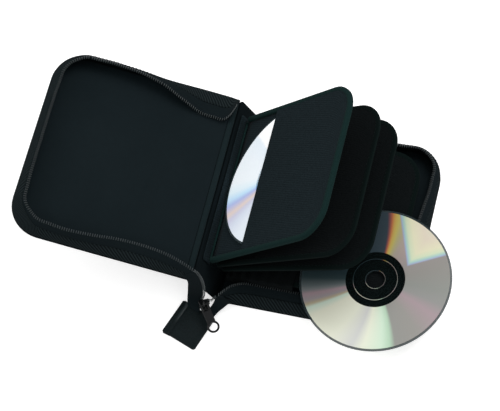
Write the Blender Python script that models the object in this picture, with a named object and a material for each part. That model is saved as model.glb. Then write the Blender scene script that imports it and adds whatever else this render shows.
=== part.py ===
"""Zip wallet for discs, lying open on a table.

Frame: the origin is the centre of the back cover's underside, +X points away from the spine,
+Y runs along the spine and +Z is up. Lengths are in metres and angles in degrees.

The back cover lies flat. The spine leans back from it, the front cover lies open to the left of
the spine, and four stiff sleeves fan out from a binding strip inside the spine.
"""
import math

import bmesh
import bpy
from mathutils import Vector

# Clearances
GAP = 0.0003                # between pieces that touch
RIM_CLEAR = 0.0010          # between the sleeves and the rim of a wall

# Discs
DISC_D = 0.120
DISC_T = 0.0012
DISC_BORE = 0.015

# Sleeves: a middle sheet, a pocket on either side and a binding round three sides
SHEET_T = 0.0006
POCKET_T = 0.0005
BINDING_W = 0.0045
BINDING_T = 0.0028
POCKET_PLAY = 0.0010        # beside a disc in its pocket
ROOT_W = 0.0115             # bare sheet between the spine and a disc pushed home
POCKET_MOUTH = 0.042        # hinge to the pocket's open edge
DISC_OUT = 0.0095           # how far the disc in the first pocket is drawn out
SLEEVE_R = 0.025            # outer corners
BEAD_R = 0.0009             # sewn edge that the sleeve turns on

# Covers
SHELL_T = 0.0018
LINING_T = 0.0012
MARGIN_X = 0.015            # cover beyond the sleeve's free edge
MARGIN_Y = 0.031            # cover beyond the sleeve, both ends together
COVER_R = 0.027
LINING_INSET = 0.004
SLEEVE_SHIFT = 0.0045       # sleeves sit nearer the top end of the spine

# Walls: ribbed band, zip tape and coil, curling inward from the cover's edge
BAND_W = 0.0090
TAPE_W = 0.0070
COIL_R = 0.0011
WALL_T = 0.0010
WALL_INSET = 0.0009
WALL_CURL = 50.0

# Spine
SPINE_T = 0.0024
RIM_GAP = 0.0006            # between the two rims when the wallet is shut
SEAM_BEAD_W = 0.0048
SEAM_BEAD_T = 0.0018
STRIP_WEB = 0.0006          # binding strip left behind each groove

# Pose in which the wallet lies
SPINE_LEAN = 25.0           # from upright, away from the back cover
COVER_RISE = 13.6           # front cover's free edge above level
SLEEVE_RISE = (45.4, 34.1, 26.3, 3.0)
SLEEVE_AT = (0.026, 0.0195, 0.0125, 0.005)      # hinge height along the spine
SLEEVE_DEPTH = (0.0034, 0.0040, 0.0045, 0.0045)     # hinge depth in front of the spine
LOOSE_FROM = (-0.03125, 0.0363)     # loose disc's centre, from the back cover's near right corner

# Zip end
TAB_SIZE = 0.031
TAB_T = 0.0018
TAB_R = 0.002
TAB_TURN = -19.5
TAB_FROM = (-0.01655, -0.0243)      # tab's middle, from the spine's near end
TAIL_T = 0.0008
SLIDER_L = 0.0095
SLIDER_W = 0.0086
SLIDER_H = 0.0042
SLIDER_FROM = (-0.00695, -0.0080, 0.0052)   # slider's middle, from the spine's near end
SLIDER_TURN = 20.0
BAIL_L = 0.0064
BAIL_H = 0.0036
BAIL_T = 0.0010
BAIL_W = 0.0014
PULL_TURN = 36.0
PULL_DROP = 6.0
PULL_L = 0.0195             # pivot to the ring's centre
PULL_W = 0.0076
PULL_T = 0.0010
PULL_RING_R = 0.0050
PULL_HOLE_R = 0.0036
PULL_BAR = 0.0008           # half the bar that turns under the bail
PULL_WINDOW = (0.0045, 0.0038)

# Tape tails, at each stop the left and the right edge: first two or three stops are measured
# from the end of the wall's hinge, the others from the middle of the tab's upper side
TAIL_OUT = 0.0012           # tails start this far in front of the covers
FRONT_TAIL_TOP = (((-0.0030, 0.0, -0.0030), (0.0050, 0.0, -0.0010)),
                  ((-0.0040, -0.0006, -0.01439), (0.0040, -0.0006, -0.01339)))
FRONT_TAIL_LOW = (((-0.0055, 0.0066, 0.0080), (0.0030, 0.0066, 0.0100)),
                  ((-0.0068, 0.0018, 0.0031), (0.0022, -0.0012, 0.0031)),
                  ((-0.0078, -0.0020, 0.0025), (0.0012, -0.0052, 0.0025)))
BACK_TAIL = (((-0.0035, 0.0, 0.0040), (0.0070, 0.0, 0.0038)),
             ((-0.0050, -0.0075, 0.0034), (0.0042, -0.0075, 0.0034)),
             ((-0.0045, -0.0128, 0.0025), (0.0008, -0.0148, 0.0025)))
FRONT_COIL = ((0.0066, 0.0, -0.0010), (0.0060, -0.0002, -0.01239))
BACK_COIL = ((0.0030, -0.0002, 0.0088), (-0.0030, -0.0002, 0.0084))
COIL_RUN = ((0.0030, 0.0010), (0.0020, 0.0005))     # before the slider's mouth: front, back

# Sizes that follow
BORDER = BINDING_W + POCKET_PLAY / 2
SLEEVE_W = ROOT_W + DISC_D + BORDER
SLEEVE_H = DISC_D + 2 * POCKET_PLAY + 2 * BINDING_W
COVER_W = SLEEVE_W + MARGIN_X
COVER_H = SLEEVE_H + MARGIN_Y
KNUCKLE = SPINE_T / 2 + GAP                 # hinge axis to the edge of a cover
AXIS_Z = (SHELL_T + LINING_T) / 2           # hinge axis above a cover's outer face
HINGE_X = -COVER_W / 2 - KNUCKLE
SPINE_END = (HINGE_X, -COVER_H / 2)
LOOSE_X = COVER_W / 2 + LOOSE_FROM[0]
LOOSE_Y = -COVER_H / 2 + LOOSE_FROM[1]
TAB_AT = (SPINE_END[0] + TAB_FROM[0], SPINE_END[1] + TAB_FROM[1])
SLIDER_AT = (SPINE_END[0] + SLIDER_FROM[0], SPINE_END[1] + SLIDER_FROM[1], SLIDER_FROM[2])
SHELL_TOP = SHELL_T - AXIS_Z
LINING_TOP = SHELL_TOP + GAP + LINING_T
WALL_BASE = SHELL_TOP + GAP + WALL_T / 2
WALL_W = BAND_W + TAPE_W + 2 * COIL_R + 2 * GAP
WALL_CHORD = WALL_W * math.sin(math.radians(WALL_CURL / 2)) / math.radians(WALL_CURL / 2)
RIM_EDGE = WALL_INSET + COIL_R + RIM_CLEAR
GROOVE_R = BEAD_R + GAP
STRIP_X = SPINE_T / 2 + GAP
SEATS = [max(depth, STRIP_X + STRIP_WEB + GROOVE_R) for depth in SLEEVE_DEPTH]
REACH_SIDE = MARGIN_X + KNUCKLE - max(SEATS) - RIM_EDGE
REACH_NEAR = MARGIN_Y / 2 + SLEEVE_SHIFT - RIM_EDGE
REACH_FAR = MARGIN_Y / 2 - SLEEVE_SHIFT - RIM_EDGE


def wall_curve(reach, s):
    """Inward and upward way along the wall, and its slope there, s from the cover's edge."""
    curl = math.radians(WALL_CURL)
    base = math.acos(reach / WALL_CHORD) + curl / 2
    tilt = base - curl * s / WALL_W
    inward = WALL_W / curl * (math.sin(base) - math.sin(tilt))
    rise = WALL_W / curl * (math.cos(tilt) - math.cos(base))
    return inward, rise, tilt


COIL_AT = WALL_W - COIL_R                   # coil's middle, from the cover's edge
RIM_RISE = WALL_BASE + wall_curve(REACH_FAR, COIL_AT)[1] + COIL_R
SPINE_W = 2 * RIM_RISE + RIM_GAP            # hinge axis to hinge axis


def material(name, color, roughness=0.8, metallic=0.0):
    mat = bpy.data.materials.new(name)
    mat.use_nodes = True
    shader = mat.node_tree.nodes["Principled BSDF"]
    shader.inputs["Base Color"].default_value = (*color, 1.0)
    shader.inputs["Roughness"].default_value = roughness
    shader.inputs["Metallic"].default_value = metallic
    return mat


def pivot(name, at=(0, 0, 0), lean=0.0, turn=0.0, parent=None):
    """Empty on a joint's axis: turned about Z, then leaned about Y (degrees)."""
    empty = bpy.data.objects.new(name, None)
    empty.empty_display_size = 0.01
    bpy.context.collection.objects.link(empty)
    empty.parent = parent
    empty.location = at
    empty.rotation_euler = (0, math.radians(lean), math.radians(turn))
    return empty


def add(name, bm, mat, parent, bevel=0.0):
    bmesh.ops.recalc_face_normals(bm, faces=bm.faces)
    mesh = bpy.data.meshes.new(name)
    bm.to_mesh(mesh)
    bm.free()
    mesh.shade_smooth()
    mesh.set_sharp_from_angle(angle=math.radians(35))
    mesh.materials.append(mat)
    obj = bpy.data.objects.new(name, mesh)
    bpy.context.collection.objects.link(obj)
    obj.parent = parent
    if bevel:
        mod = obj.modifiers.new("Edge", "BEVEL")
        mod.width = bevel
        mod.segments = 2
        mod.limit_method = "ANGLE"
    return obj


def prism(outline, thickness, at=0.0, along="Z"):
    """Closed outline extruded along Z, or along Y for an (x, z) outline; at is the start."""
    bm = bmesh.new()
    if along == "Z":
        verts = [bm.verts.new((a, b, at)) for a, b in outline]
        step = Vector((0, 0, thickness))
    else:
        verts = [bm.verts.new((a, at, b)) for a, b in outline]
        step = Vector((0, thickness, 0))
    face = bm.faces.new(verts)
    side = bmesh.ops.extrude_face_region(bm, geom=[face])["geom"]
    bmesh.ops.translate(bm, vec=step, verts=[v for v in side if isinstance(v, bmesh.types.BMVert)])
    return bm


def arc(cx, cy, radius, start, end, steps):
    """Points on a circle, both ends included (degrees)."""
    angles = [math.radians(start + (end - start) * i / steps) for i in range(steps + 1)]
    return [(cx + radius * math.cos(a), cy + radius * math.sin(a)) for a in angles]


def panel(x0, x1, height, radius, steps=8):
    """Outline with square corners at x0 and round corners at x1."""
    y = height / 2
    return [(x0, -y), *arc(x1 - radius, radius - y, radius, -90, 0, steps),
            *arc(x1 - radius, y - radius, radius, 0, 90, steps), (x0, y)]


def ring(outer, inner, thickness, steps=64):
    """Flat ring about the origin, spun from its section."""
    bm = bmesh.new()
    z = thickness / 2
    section = [(inner, -z), (outer, -z), (outer, z), (inner, z)]
    verts = [bm.verts.new((x, 0, h)) for x, h in section]
    edges = [bm.edges.new((verts[i], verts[(i + 1) % 4])) for i in range(4)]
    bmesh.ops.spin(bm, geom=verts + edges, cent=(0, 0, 0), axis=(0, 0, 1), angle=2 * math.pi,
                   steps=steps, use_merge=True)
    bmesh.ops.remove_doubles(bm, verts=bm.verts, dist=1e-6)
    return bm


def loft(rings):
    """Tube through rings of as many points each, with filled ends."""
    bm = bmesh.new()
    rows = [[bm.verts.new(p) for p in points] for points in rings]
    count = len(rows[0])
    for near, far in zip(rows, rows[1:]):
        for i in range(count):
            j = (i + 1) % count
            bm.faces.new((near[i], near[j], far[j], far[i]))
    bm.faces.new(reversed(rows[0]))
    bm.faces.new(rows[-1])
    return bm


def blend(stops, t):
    """Value at t between (t, value) stops, eased."""
    for (t0, v0), (t1, v1) in zip(stops, stops[1:]):
        if t <= t1:
            f = (t - t0) / (t1 - t0)
            return v0 + (v1 - v0) * f * f * (3 - 2 * f)
    return stops[-1][1]


def wall_path():
    """Stations round a cover from one spine corner to the other: x, y, inward x, inward y, t."""
    x0, x1, y = KNUCKLE + 0.0015, KNUCKLE + COVER_W, COVER_H / 2
    points = []
    run = x1 - COVER_R - x0
    side = COVER_H - 2 * COVER_R
    for i in range(12):
        points.append((x0 + run * i / 12, -y, 0.0, 1.0))
    for i in range(8):
        a = math.radians(-90 + 90 * i / 8)
        points.append((x1 - COVER_R + COVER_R * math.cos(a), COVER_R - y + COVER_R * math.sin(a),
                       -math.cos(a), -math.sin(a)))
    for i in range(10):
        points.append((x1, COVER_R - y + side * i / 10, -1.0, 0.0))
    for i in range(8):
        a = math.radians(90 * i / 8)
        points.append((x1 - COVER_R + COVER_R * math.cos(a), y - COVER_R + COVER_R * math.sin(a),
                       -math.cos(a), -math.sin(a)))
    for i in range(13):
        points.append((x1 - COVER_R - run * i / 12, y, 0.0, -1.0))
    last = len(points) - 1
    return [(*p, i / last) for i, p in enumerate(points)]


def wall_point(station, reach, s, off):
    """Point s up the curled wall, off outward from its middle."""
    x, y, nx, ny, _ = station
    inward, rise, tilt = wall_curve(reach, s)
    inward += WALL_INSET - off * math.sin(tilt)
    return Vector((x + nx * inward, y + ny * inward, WALL_BASE + rise + off * math.cos(tilt)))


def wall_strip(stops, start, end, steps=3):
    """Band of the wall between two distances from the cover's edge."""
    rings = []
    for st in wall_path():
        reach = blend(stops, st[4])
        climb = [start + (end - start) * k / steps for k in range(steps + 1)]
        outer = [wall_point(st, reach, s, WALL_T / 2) for s in climb]
        inner = [wall_point(st, reach, s, -WALL_T / 2) for s in reversed(climb)]
        rings.append(outer + inner)
    return loft(rings)


def wall_coil(stops, sides=8):
    """Coil on the rim, as the tube that its turns fill."""
    rings = []
    for st in wall_path():
        reach = blend(stops, st[4])
        c = wall_point(st, reach, COIL_AT, 0.0)
        u = wall_point(st, reach, COIL_AT, COIL_R) - c
        v = wall_point(st, reach, COIL_AT + COIL_R, 0.0) - c
        v = v.normalized() * COIL_R
        rings.append([c + u * math.cos(a) + v * math.sin(a)
                      for a in (2 * math.pi * k / sides for k in range(sides))])
    return loft(rings)


def ribbon(sections, thickness):
    """Tape through (left, right, up) sections: its two edges and the way its face looks."""
    rings = []
    for left, right, up in sections:
        left, right = Vector(left), Vector(right)
        lift = Vector(up).normalized() * thickness / 2
        rings.append([left - lift, right - lift, right + lift, left + lift])
    return loft(rings)


def tube(points, radius, sides=8):
    """Round bar through points."""
    points = [Vector(p) for p in points]
    rings = []
    for i, p in enumerate(points):
        ahead = (points[min(i + 1, len(points) - 1)] - points[max(i - 1, 0)]).normalized()
        u = ahead.cross(Vector((0, 0, 1))).normalized()
        v = u.cross(ahead)
        rings.append([p + radius * (u * math.cos(a) + v * math.sin(a))
                      for a in (2 * math.pi * k / sides for k in range(sides))])
    return loft(rings)


def holed(outer, holes, thickness):
    """Plate with holes, its middle plane at z = 0."""
    bm = bmesh.new()
    edges = []
    for loop in (outer, *holes):
        verts = [bm.verts.new((x, y, -thickness / 2)) for x, y in loop]
        edges += [bm.edges.new((verts[i], verts[(i + 1) % len(verts)])) for i in range(len(verts))]
    faces = bmesh.ops.triangle_fill(bm, edges=edges, use_beauty=True)["geom"]
    faces = [f for f in faces if isinstance(f, bmesh.types.BMFace)]
    side = bmesh.ops.extrude_face_region(bm, geom=faces)["geom"]
    bmesh.ops.translate(bm, vec=(0, 0, thickness),
                        verts=[v for v in side if isinstance(v, bmesh.types.BMVert)])
    return bm


def cover(name, stops, root, shell_mat, lining_mat, lining_start):
    """Shell, lining and wall of one cover; its hinge axis is the root's Y axis."""
    x1 = KNUCKLE + COVER_W
    add(f"{name}_shell", prism(panel(KNUCKLE, x1, COVER_H, COVER_R), SHELL_T, -AXIS_Z),
        shell_mat, root, bevel=0.0004)
    inner = panel(lining_start, x1 - LINING_INSET, COVER_H - 2 * LINING_INSET,
                  COVER_R - LINING_INSET)
    add(f"{name}_lining", prism(inner, LINING_T, SHELL_TOP + GAP), lining_mat, root)
    tape = BAND_W + GAP
    add(f"{name}_band", wall_strip(stops, 0, BAND_W), twill, root)
    add(f"{name}_tape", wall_strip(stops, tape, tape + TAPE_W), woven, root)
    add(f"{name}_coil", wall_coil(stops), nylon, root)


def sleeve(number, at, depth, rise, parent, lean):
    """One double sided sleeve, turning on the bead along its sewn edge."""
    root = pivot(f"sleeve_{number}_hinge", (depth, SLEEVE_SHIFT, at), lean - rise, 0, parent)
    holds_disc = number == 1
    inner_x = SLEEVE_W - BINDING_W - GAP
    inner_h = SLEEVE_H - 2 * BINDING_W - 2 * GAP
    inner_r = SLEEVE_R - BINDING_W
    start = 4 * BEAD_R

    bead = arc(0, 0, BEAD_R, 20, 340, 14)
    plate = prism(panel(start, inner_x, inner_h, inner_r), SHEET_T, -SHEET_T / 2)
    add(f"sleeve_{number}_sheet", plate, lining_cloth, root)
    hinge = prism([*bead, (start - GAP, -SHEET_T / 2), (start - GAP, SHEET_T / 2)],
                  inner_h, -inner_h / 2, along="Y")
    add(f"sleeve_{number}_bead", hinge, edging, root)

    front = SHEET_T / 2 + GAP + (DISC_T + GAP if holds_disc else 0)
    pocket = panel(POCKET_MOUTH, inner_x, inner_h, inner_r)
    add(f"sleeve_{number}_pocket", prism(pocket, POCKET_T, front), pocket_cloth, root)
    back = -SHEET_T / 2 - GAP - POCKET_T
    add(f"sleeve_{number}_back_pocket", prism(pocket, POCKET_T, back), pocket_cloth, root)

    thick = BINDING_T + (DISC_T + GAP if holds_disc else 0)
    outer = panel(start, SLEEVE_W, SLEEVE_H, SLEEVE_R)
    inner = panel(start, SLEEVE_W - BINDING_W, SLEEVE_H - 2 * BINDING_W, inner_r)
    add(f"sleeve_{number}_binding", prism([*outer, *reversed(inner)], thick, -BINDING_T / 2),
        edging, root)
    if holds_disc:
        x = ROOT_W + DISC_D / 2 - DISC_OUT
        disc = add("sleeve_disc", ring(DISC_D / 2, DISC_BORE / 2, DISC_T), disc_silver, root)
        disc.location = (x, 0, SHEET_T / 2 + GAP + DISC_T / 2)
    return root


for old in list(bpy.data.objects):
    bpy.data.objects.remove(old, do_unlink=True)

shell_cloth = material("shell_cloth", (0.020, 0.021, 0.024), 0.85)
lining_cloth = material("lining_cloth", (0.024, 0.026, 0.032), 0.75)
pocket_cloth = material("pocket_cloth", (0.020, 0.022, 0.026), 0.80)
twill = material("twill", (0.026, 0.027, 0.030), 0.85)
woven = material("woven", (0.014, 0.015, 0.017), 0.80)
nylon = material("nylon", (0.060, 0.062, 0.066), 0.45)
edging = material("edging", (0.070, 0.078, 0.075), 0.70)
hide = material("hide", (0.045, 0.047, 0.052), 0.60)
black_metal = material("black_metal", (0.050, 0.052, 0.056), 0.30, 1.0)
disc_silver = material("disc_silver", (0.80, 0.81, 0.82), 0.15, 1.0)

# Back cover, flat on the table, with its walls round three sides
back = pivot("back_cover", (HINGE_X, 0, AXIS_Z))
back_stops = [(0.0, REACH_FAR), (0.04, REACH_NEAR * 0.9), (0.08, REACH_NEAR), (0.16, REACH_NEAR),
              (0.30, REACH_SIDE * 1.2), (0.38, REACH_SIDE), (0.52, REACH_SIDE),
              (0.58, REACH_SIDE * 0.65), (0.70, REACH_SIDE * 0.65), (0.80, REACH_FAR),
              (1.0, REACH_FAR)]
cover("back", back_stops, back, shell_cloth, lining_cloth, KNUCKLE + 0.0016)

# Spine, leaning back from the back cover's edge; its section is a bar with round edges,
# centred on both hinge axes, so that the covers turn round it without touching
spine = pivot("spine_hinge", (HINGE_X, 0, AXIS_Z), -SPINE_LEAN)
r = SPINE_T / 2
section = [*arc(0, SPINE_W, r, 0, 180, 10), *arc(0, 0, r, 180, 360, 10)]
spine_len = COVER_H - 0.001
add("spine_panel", prism(section, spine_len, -spine_len / 2, along="Y"), shell_cloth, spine)

# Strip inside the spine that the sleeves are sewn to, with a groove for each bead
strip = [(STRIP_X, min(SLEEVE_AT) - 2 * GROOVE_R), (STRIP_X, max(SLEEVE_AT) + 2 * GROOVE_R)]
for at, depth in zip(SLEEVE_AT, SEATS):
    strip += arc(depth, at, GROOVE_R, 90, 270, 8)
strip_len = SLEEVE_H - 2 * BINDING_W
add("binding_strip", prism(strip, strip_len, SLEEVE_SHIFT - strip_len / 2, along="Y"),
    pocket_cloth, spine)

# Sleeves
for i, (at, depth, rise) in enumerate(zip(SLEEVE_AT, SEATS, SLEEVE_RISE), start=1):
    sleeve(i, at, depth, rise, spine, SPINE_LEAN)

# Front cover: the same as the back one, hinged on the spine's other edge and turned over
front = pivot("front_hinge", (0, 0, SPINE_W), -COVER_RISE - SPINE_LEAN, 180, spine)
front_stops = [(0.0, REACH_FAR), (0.24, REACH_FAR), (0.36, REACH_SIDE), (0.64, REACH_SIDE),
               (0.74, REACH_NEAR * 0.85), (0.94, REACH_NEAR * 0.88), (1.0, REACH_FAR)]
bead_end = KNUCKLE + 0.0004 + SEAM_BEAD_W
cover("front", front_stops, front, shell_cloth, lining_cloth, bead_end + GAP)
bead_h = COVER_H - 2 * LINING_INSET
bead_section = [(KNUCKLE + 0.0004, SHELL_TOP + GAP), (bead_end, SHELL_TOP + GAP),
                (bead_end - 0.0006, SHELL_TOP + GAP + SEAM_BEAD_T),
                (KNUCKLE + 0.0012, SHELL_TOP + GAP + SEAM_BEAD_T)]
add("seam_bead", prism(bead_section, bead_h, -bead_h / 2, along="Y"), shell_cloth, front)

# Loose disc: its left edge lies on the last sleeve and its right side on the back cover's rim
lean = math.radians(SPINE_LEAN)
last_x = HINGE_X - SLEEVE_AT[-1] * math.sin(lean) + SEATS[-1] * math.cos(lean)
last_z = AXIS_Z + SLEEVE_AT[-1] * math.cos(lean) + SEATS[-1] * math.sin(lean)
rest = math.radians(SLEEVE_RISE[-1])
left_x = LOOSE_X - DISC_D / 2
left_z = last_z + (left_x - last_x) * math.tan(rest) + BINDING_T / 2 / math.cos(rest) + GAP
inward, rise, _ = wall_curve(REACH_SIDE, COIL_AT)
rim_x = COVER_W / 2 - WALL_INSET - inward
rim_z = AXIS_Z + WALL_BASE + rise + COIL_R + GAP
tilt = math.atan2(rim_z - left_z, rim_x - left_x)
loose_z = left_z + (LOOSE_X - left_x) * math.tan(tilt) + DISC_T / 2 / math.cos(tilt)
loose = pivot("loose_disc_rest", (LOOSE_X, LOOSE_Y, loose_z), -math.degrees(tilt))
add("loose_disc", ring(DISC_D / 2, DISC_BORE / 2, DISC_T), disc_silver, loose)

# Tab that both tapes end on, flat on the table
tab = pivot("tab_rest", (*TAB_AT, 0), 0, TAB_TURN)
h = TAB_SIZE / 2 - TAB_R
corners = [p for cx, cy, a in ((h, h, 0), (-h, h, 90), (-h, -h, 180), (h, -h, 270))
           for p in arc(cx, cy, TAB_R, a, a + 90, 4)]
add("zip_tab", prism(corners, TAB_T), hide, tab, bevel=0.0004)

# Tape tails, from the foot of each wall to the tab, each with its coil
foot = SPINE_END[1] - TAIL_OUT
top_x = HINGE_X - SPINE_W * math.sin(lean)
top_z = AXIS_Z + SPINE_W * math.cos(lean)


def moved(point, x, y, z):
    return (point[0] + x, point[1] + y, point[2] + z)


def stops(pairs, x, y, z, out):
    """Stops of a ribbon: both edges moved to (x, y, z), with the way the stop faces."""
    return [(moved(left, x, y, z), moved(right, x, y, z), way)
            for (left, right), way in zip(pairs, out)]


add("front_tail", ribbon(
    stops(FRONT_TAIL_TOP, top_x, foot, top_z, ((0, -1, 0.2), (0, -1, 0.3)))
    + stops(FRONT_TAIL_LOW, TAB_AT[0], TAB_AT[1] + TAB_SIZE / 2, 0,
            ((0, -1, 0.8), (0, -0.3, 1), (0, 0, 1))), TAIL_T), woven, None)
add("back_tail", ribbon(
    stops(BACK_TAIL, HINGE_X, foot, 0, ((0, -0.1, 1), (0, 0, 1), (0, 0, 1))), TAIL_T), woven, None)

# Slider, with the bail that the pull turns under
slider = pivot("slider_rest", SLIDER_AT, 0, SLIDER_TURN)
half_w, half_l = SLIDER_W / 2, SLIDER_L / 2
shield = [(-0.62 * half_w, -half_l), (0.62 * half_w, -half_l), (0.72 * half_w, -0.1 * half_l),
          (half_w, 0.35 * half_l), (half_w, 0.8 * half_l), (0.75 * half_w, half_l),
          (-0.75 * half_w, half_l), (-half_w, 0.8 * half_l), (-half_w, 0.35 * half_l),
          (-0.72 * half_w, -0.1 * half_l)]
add("slider", prism(shield, SLIDER_H), black_metal, slider, bevel=0.0005)
bail_seat = pivot("bail_seat", (0, 0, SLIDER_H + GAP), 0, 90, slider)
hl, ht = BAIL_L / 2, BAIL_H
arch = [(-hl, 0), (-hl, ht), (hl, ht), (hl, 0), (hl - BAIL_T, 0), (hl - BAIL_T, ht - BAIL_T),
        (BAIL_T - hl, ht - BAIL_T), (BAIL_T - hl, 0)]
add("slider_bail", prism(arch, BAIL_W, -BAIL_W / 2, along="Y"), black_metal, bail_seat)

coil_z = SLIDER_AT[2] + SLIDER_H / 2
turn = math.radians(SLIDER_TURN)


def slider_point(x, y, z=0.0):
    """Point given along the slider's own width and length."""
    return (SLIDER_AT[0] + x * math.cos(turn) - y * math.sin(turn),
            SLIDER_AT[1] + x * math.sin(turn) + y * math.cos(turn), coil_z + z)


mouth = half_l + GAP
coil_x = SLIDER_W / 4
(front_run, front_lift), (back_run, back_lift) = COIL_RUN
add("front_tail_coil", tube([moved(p, top_x, foot, top_z) for p in FRONT_COIL]
                            + [slider_point(-coil_x, mouth + front_run, front_lift),
                               slider_point(-coil_x, mouth)], COIL_R), nylon, None)
add("back_tail_coil", tube([moved(p, HINGE_X, foot, 0) for p in BACK_COIL]
                           + [slider_point(coil_x, mouth + back_run, back_lift),
                              slider_point(coil_x, mouth)], COIL_R), nylon, None)

# Pull, lying towards the tab; its bar turns under the bail
pull_at = slider_point(0, -0.0009)
pull_z = SLIDER_AT[2] + SLIDER_H + GAP + 0.0013
pull = pivot("pull_hinge", (pull_at[0], pull_at[1], pull_z), PULL_DROP, PULL_TURN - 90)
q = PULL_W / 2
tip = math.degrees(math.asin(0.9 * q / PULL_RING_R))
outline = [(-PULL_BAR, -q), (0.6 * PULL_L, -0.9 * q),
           *arc(PULL_L, 0, PULL_RING_R, 180 + tip, 540 - tip, 20),
           (0.6 * PULL_L, 0.9 * q), (-PULL_BAR, q)]
window_l, window_w = PULL_WINDOW
window = [(PULL_BAR, -window_w / 2), (PULL_BAR + window_l, -window_w / 2),
          (PULL_BAR + window_l, window_w / 2), (PULL_BAR, window_w / 2)]
eye = arc(PULL_L, 0, PULL_HOLE_R, 0, 345, 23)
add("zip_pull", holed(outline, [window, eye], PULL_T), black_metal, pull)
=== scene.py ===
# %% [markdown]
# # A zip-around disc wallet, dressed over its CAD model
# The wallet lies open: a back cover flat on the table, a spine leaning back, a front cover lying
# open on the left, and four stiff sleeves that fan out from the spine. The CAD model gives every
# solid its place. This lesson gives each one its cloth, thread, teeth, leather or metal.

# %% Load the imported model
import math

import bmesh
import bpy
from mathutils import Matrix, Vector, noise


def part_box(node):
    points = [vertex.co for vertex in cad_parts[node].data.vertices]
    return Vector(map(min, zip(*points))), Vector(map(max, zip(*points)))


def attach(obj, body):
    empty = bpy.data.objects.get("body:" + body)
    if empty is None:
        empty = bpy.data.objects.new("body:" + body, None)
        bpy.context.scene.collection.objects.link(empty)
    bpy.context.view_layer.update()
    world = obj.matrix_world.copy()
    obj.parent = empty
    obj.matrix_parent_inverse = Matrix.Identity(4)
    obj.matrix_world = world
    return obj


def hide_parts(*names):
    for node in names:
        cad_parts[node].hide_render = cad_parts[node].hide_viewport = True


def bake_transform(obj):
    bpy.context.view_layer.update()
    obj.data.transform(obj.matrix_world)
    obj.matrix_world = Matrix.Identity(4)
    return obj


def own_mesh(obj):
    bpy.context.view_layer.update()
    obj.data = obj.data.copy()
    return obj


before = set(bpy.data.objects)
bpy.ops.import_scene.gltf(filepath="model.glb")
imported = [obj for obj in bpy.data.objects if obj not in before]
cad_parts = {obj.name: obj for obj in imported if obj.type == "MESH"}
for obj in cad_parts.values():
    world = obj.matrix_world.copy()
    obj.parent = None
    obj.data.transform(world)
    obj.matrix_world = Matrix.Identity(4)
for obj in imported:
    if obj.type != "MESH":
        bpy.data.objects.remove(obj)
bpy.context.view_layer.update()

# %% [markdown]
# ## The camera and the light
# A photograph of a small product is usually taken with a long lens from high above, so that its
# edges stay almost parallel. The camera's place, aim and lens were found from the corners of the
# covers. The photograph has a white surround and no hard shadow, so the light is a wide soft
# box overhead with a weaker one on either side.

# %% Camera
IMAGE_W = 500
FOCAL_PX = 1942.5
camera_data = bpy.data.cameras.new("camera")
camera_data.sensor_width = 36.0
camera_data.lens = FOCAL_PX / IMAGE_W * camera_data.sensor_width
camera_data.clip_start, camera_data.clip_end = 0.05, 20.0
camera = bpy.data.objects.new("camera", camera_data)
bpy.context.scene.collection.objects.link(camera)
CAMERA_AT = (0.2167, -0.6116, 1.4206)
look = Vector((-0.1826, 0.3920, -0.9016)).normalized()
right = look.cross(Vector((-0.1776, 0.8888, 0.4224))).normalized()
up = right.cross(look)
camera.matrix_world = Matrix((
    (right.x, up.x, -look.x, CAMERA_AT[0]), (right.y, up.y, -look.y, CAMERA_AT[1]),
    (right.z, up.z, -look.z, CAMERA_AT[2]), (0, 0, 0, 1)))
bpy.context.scene.camera = camera
print("lens:", round(camera_data.lens, 1), "mm")


# %% Soft boxes
def soft_box(name, place, aim, size, power):
    light = bpy.data.lights.new(name, "AREA")
    light.shape, light.size, light.energy = "SQUARE", size, power
    lamp = bpy.data.objects.new(name, light)
    bpy.context.scene.collection.objects.link(lamp)
    lamp.location = place
    lamp.rotation_euler = (Vector(aim) - Vector(place)).to_track_quat("-Z", "Y").to_euler()


soft_box("overhead", (0.45, 0.55, 1.25), (0, 0, 0), 0.9, 11.0)
soft_box("left_side", (-1.1, -0.3, 0.9), (0, 0, 0), 0.8, 5.0)
soft_box("right_side", (0.9, -0.7, 0.7), (0, 0, 0), 0.7, 1.5)

# %% [markdown]
# ## Wiring a material by writing sums
# A pattern such as twill is arithmetic on the place on the cloth. Drawing it with a Math node for
# each sign is slow to read. One small class wraps a socket, and its operators add the nodes, so a
# rib is written as a sine of a sum, as it would be on paper.


# %% Wire and Finish
class Wire:
    """A value in a material; Python's operators on it add Math nodes."""

    def __init__(self, finish, socket):
        self.finish, self.socket = finish, socket

    def maths(self, operation, *terms):
        return self.finish.node("ShaderNodeMath", {"operation": operation}, dict(enumerate(terms)))

    def __add__(self, other):
        return self.maths("ADD", self, other)

    def __sub__(self, other):
        return self.maths("SUBTRACT", self, other)

    def __mul__(self, other):
        return self.maths("MULTIPLY", self, other)

    def __truediv__(self, other):
        return self.maths("DIVIDE", self, other)

    def __pow__(self, other):
        return self.maths("POWER", self, other)

    def __rsub__(self, other):
        return self.maths("SUBTRACT", other, self)

    __radd__, __rmul__ = __add__, __mul__

    def sine(self):
        return self.maths("SINE", self)

    def size(self):
        return self.maths("ABSOLUTE", self)

    def step(self, low, high):
        """0 below low, 1 above high, and eased between."""
        return self.finish.node("ShaderNodeMapRange", {"interpolation_type": "SMOOTHSTEP"},
                                {0: self, 1: low, 2: high, 3: 0.0, 4: 1.0})


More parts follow.
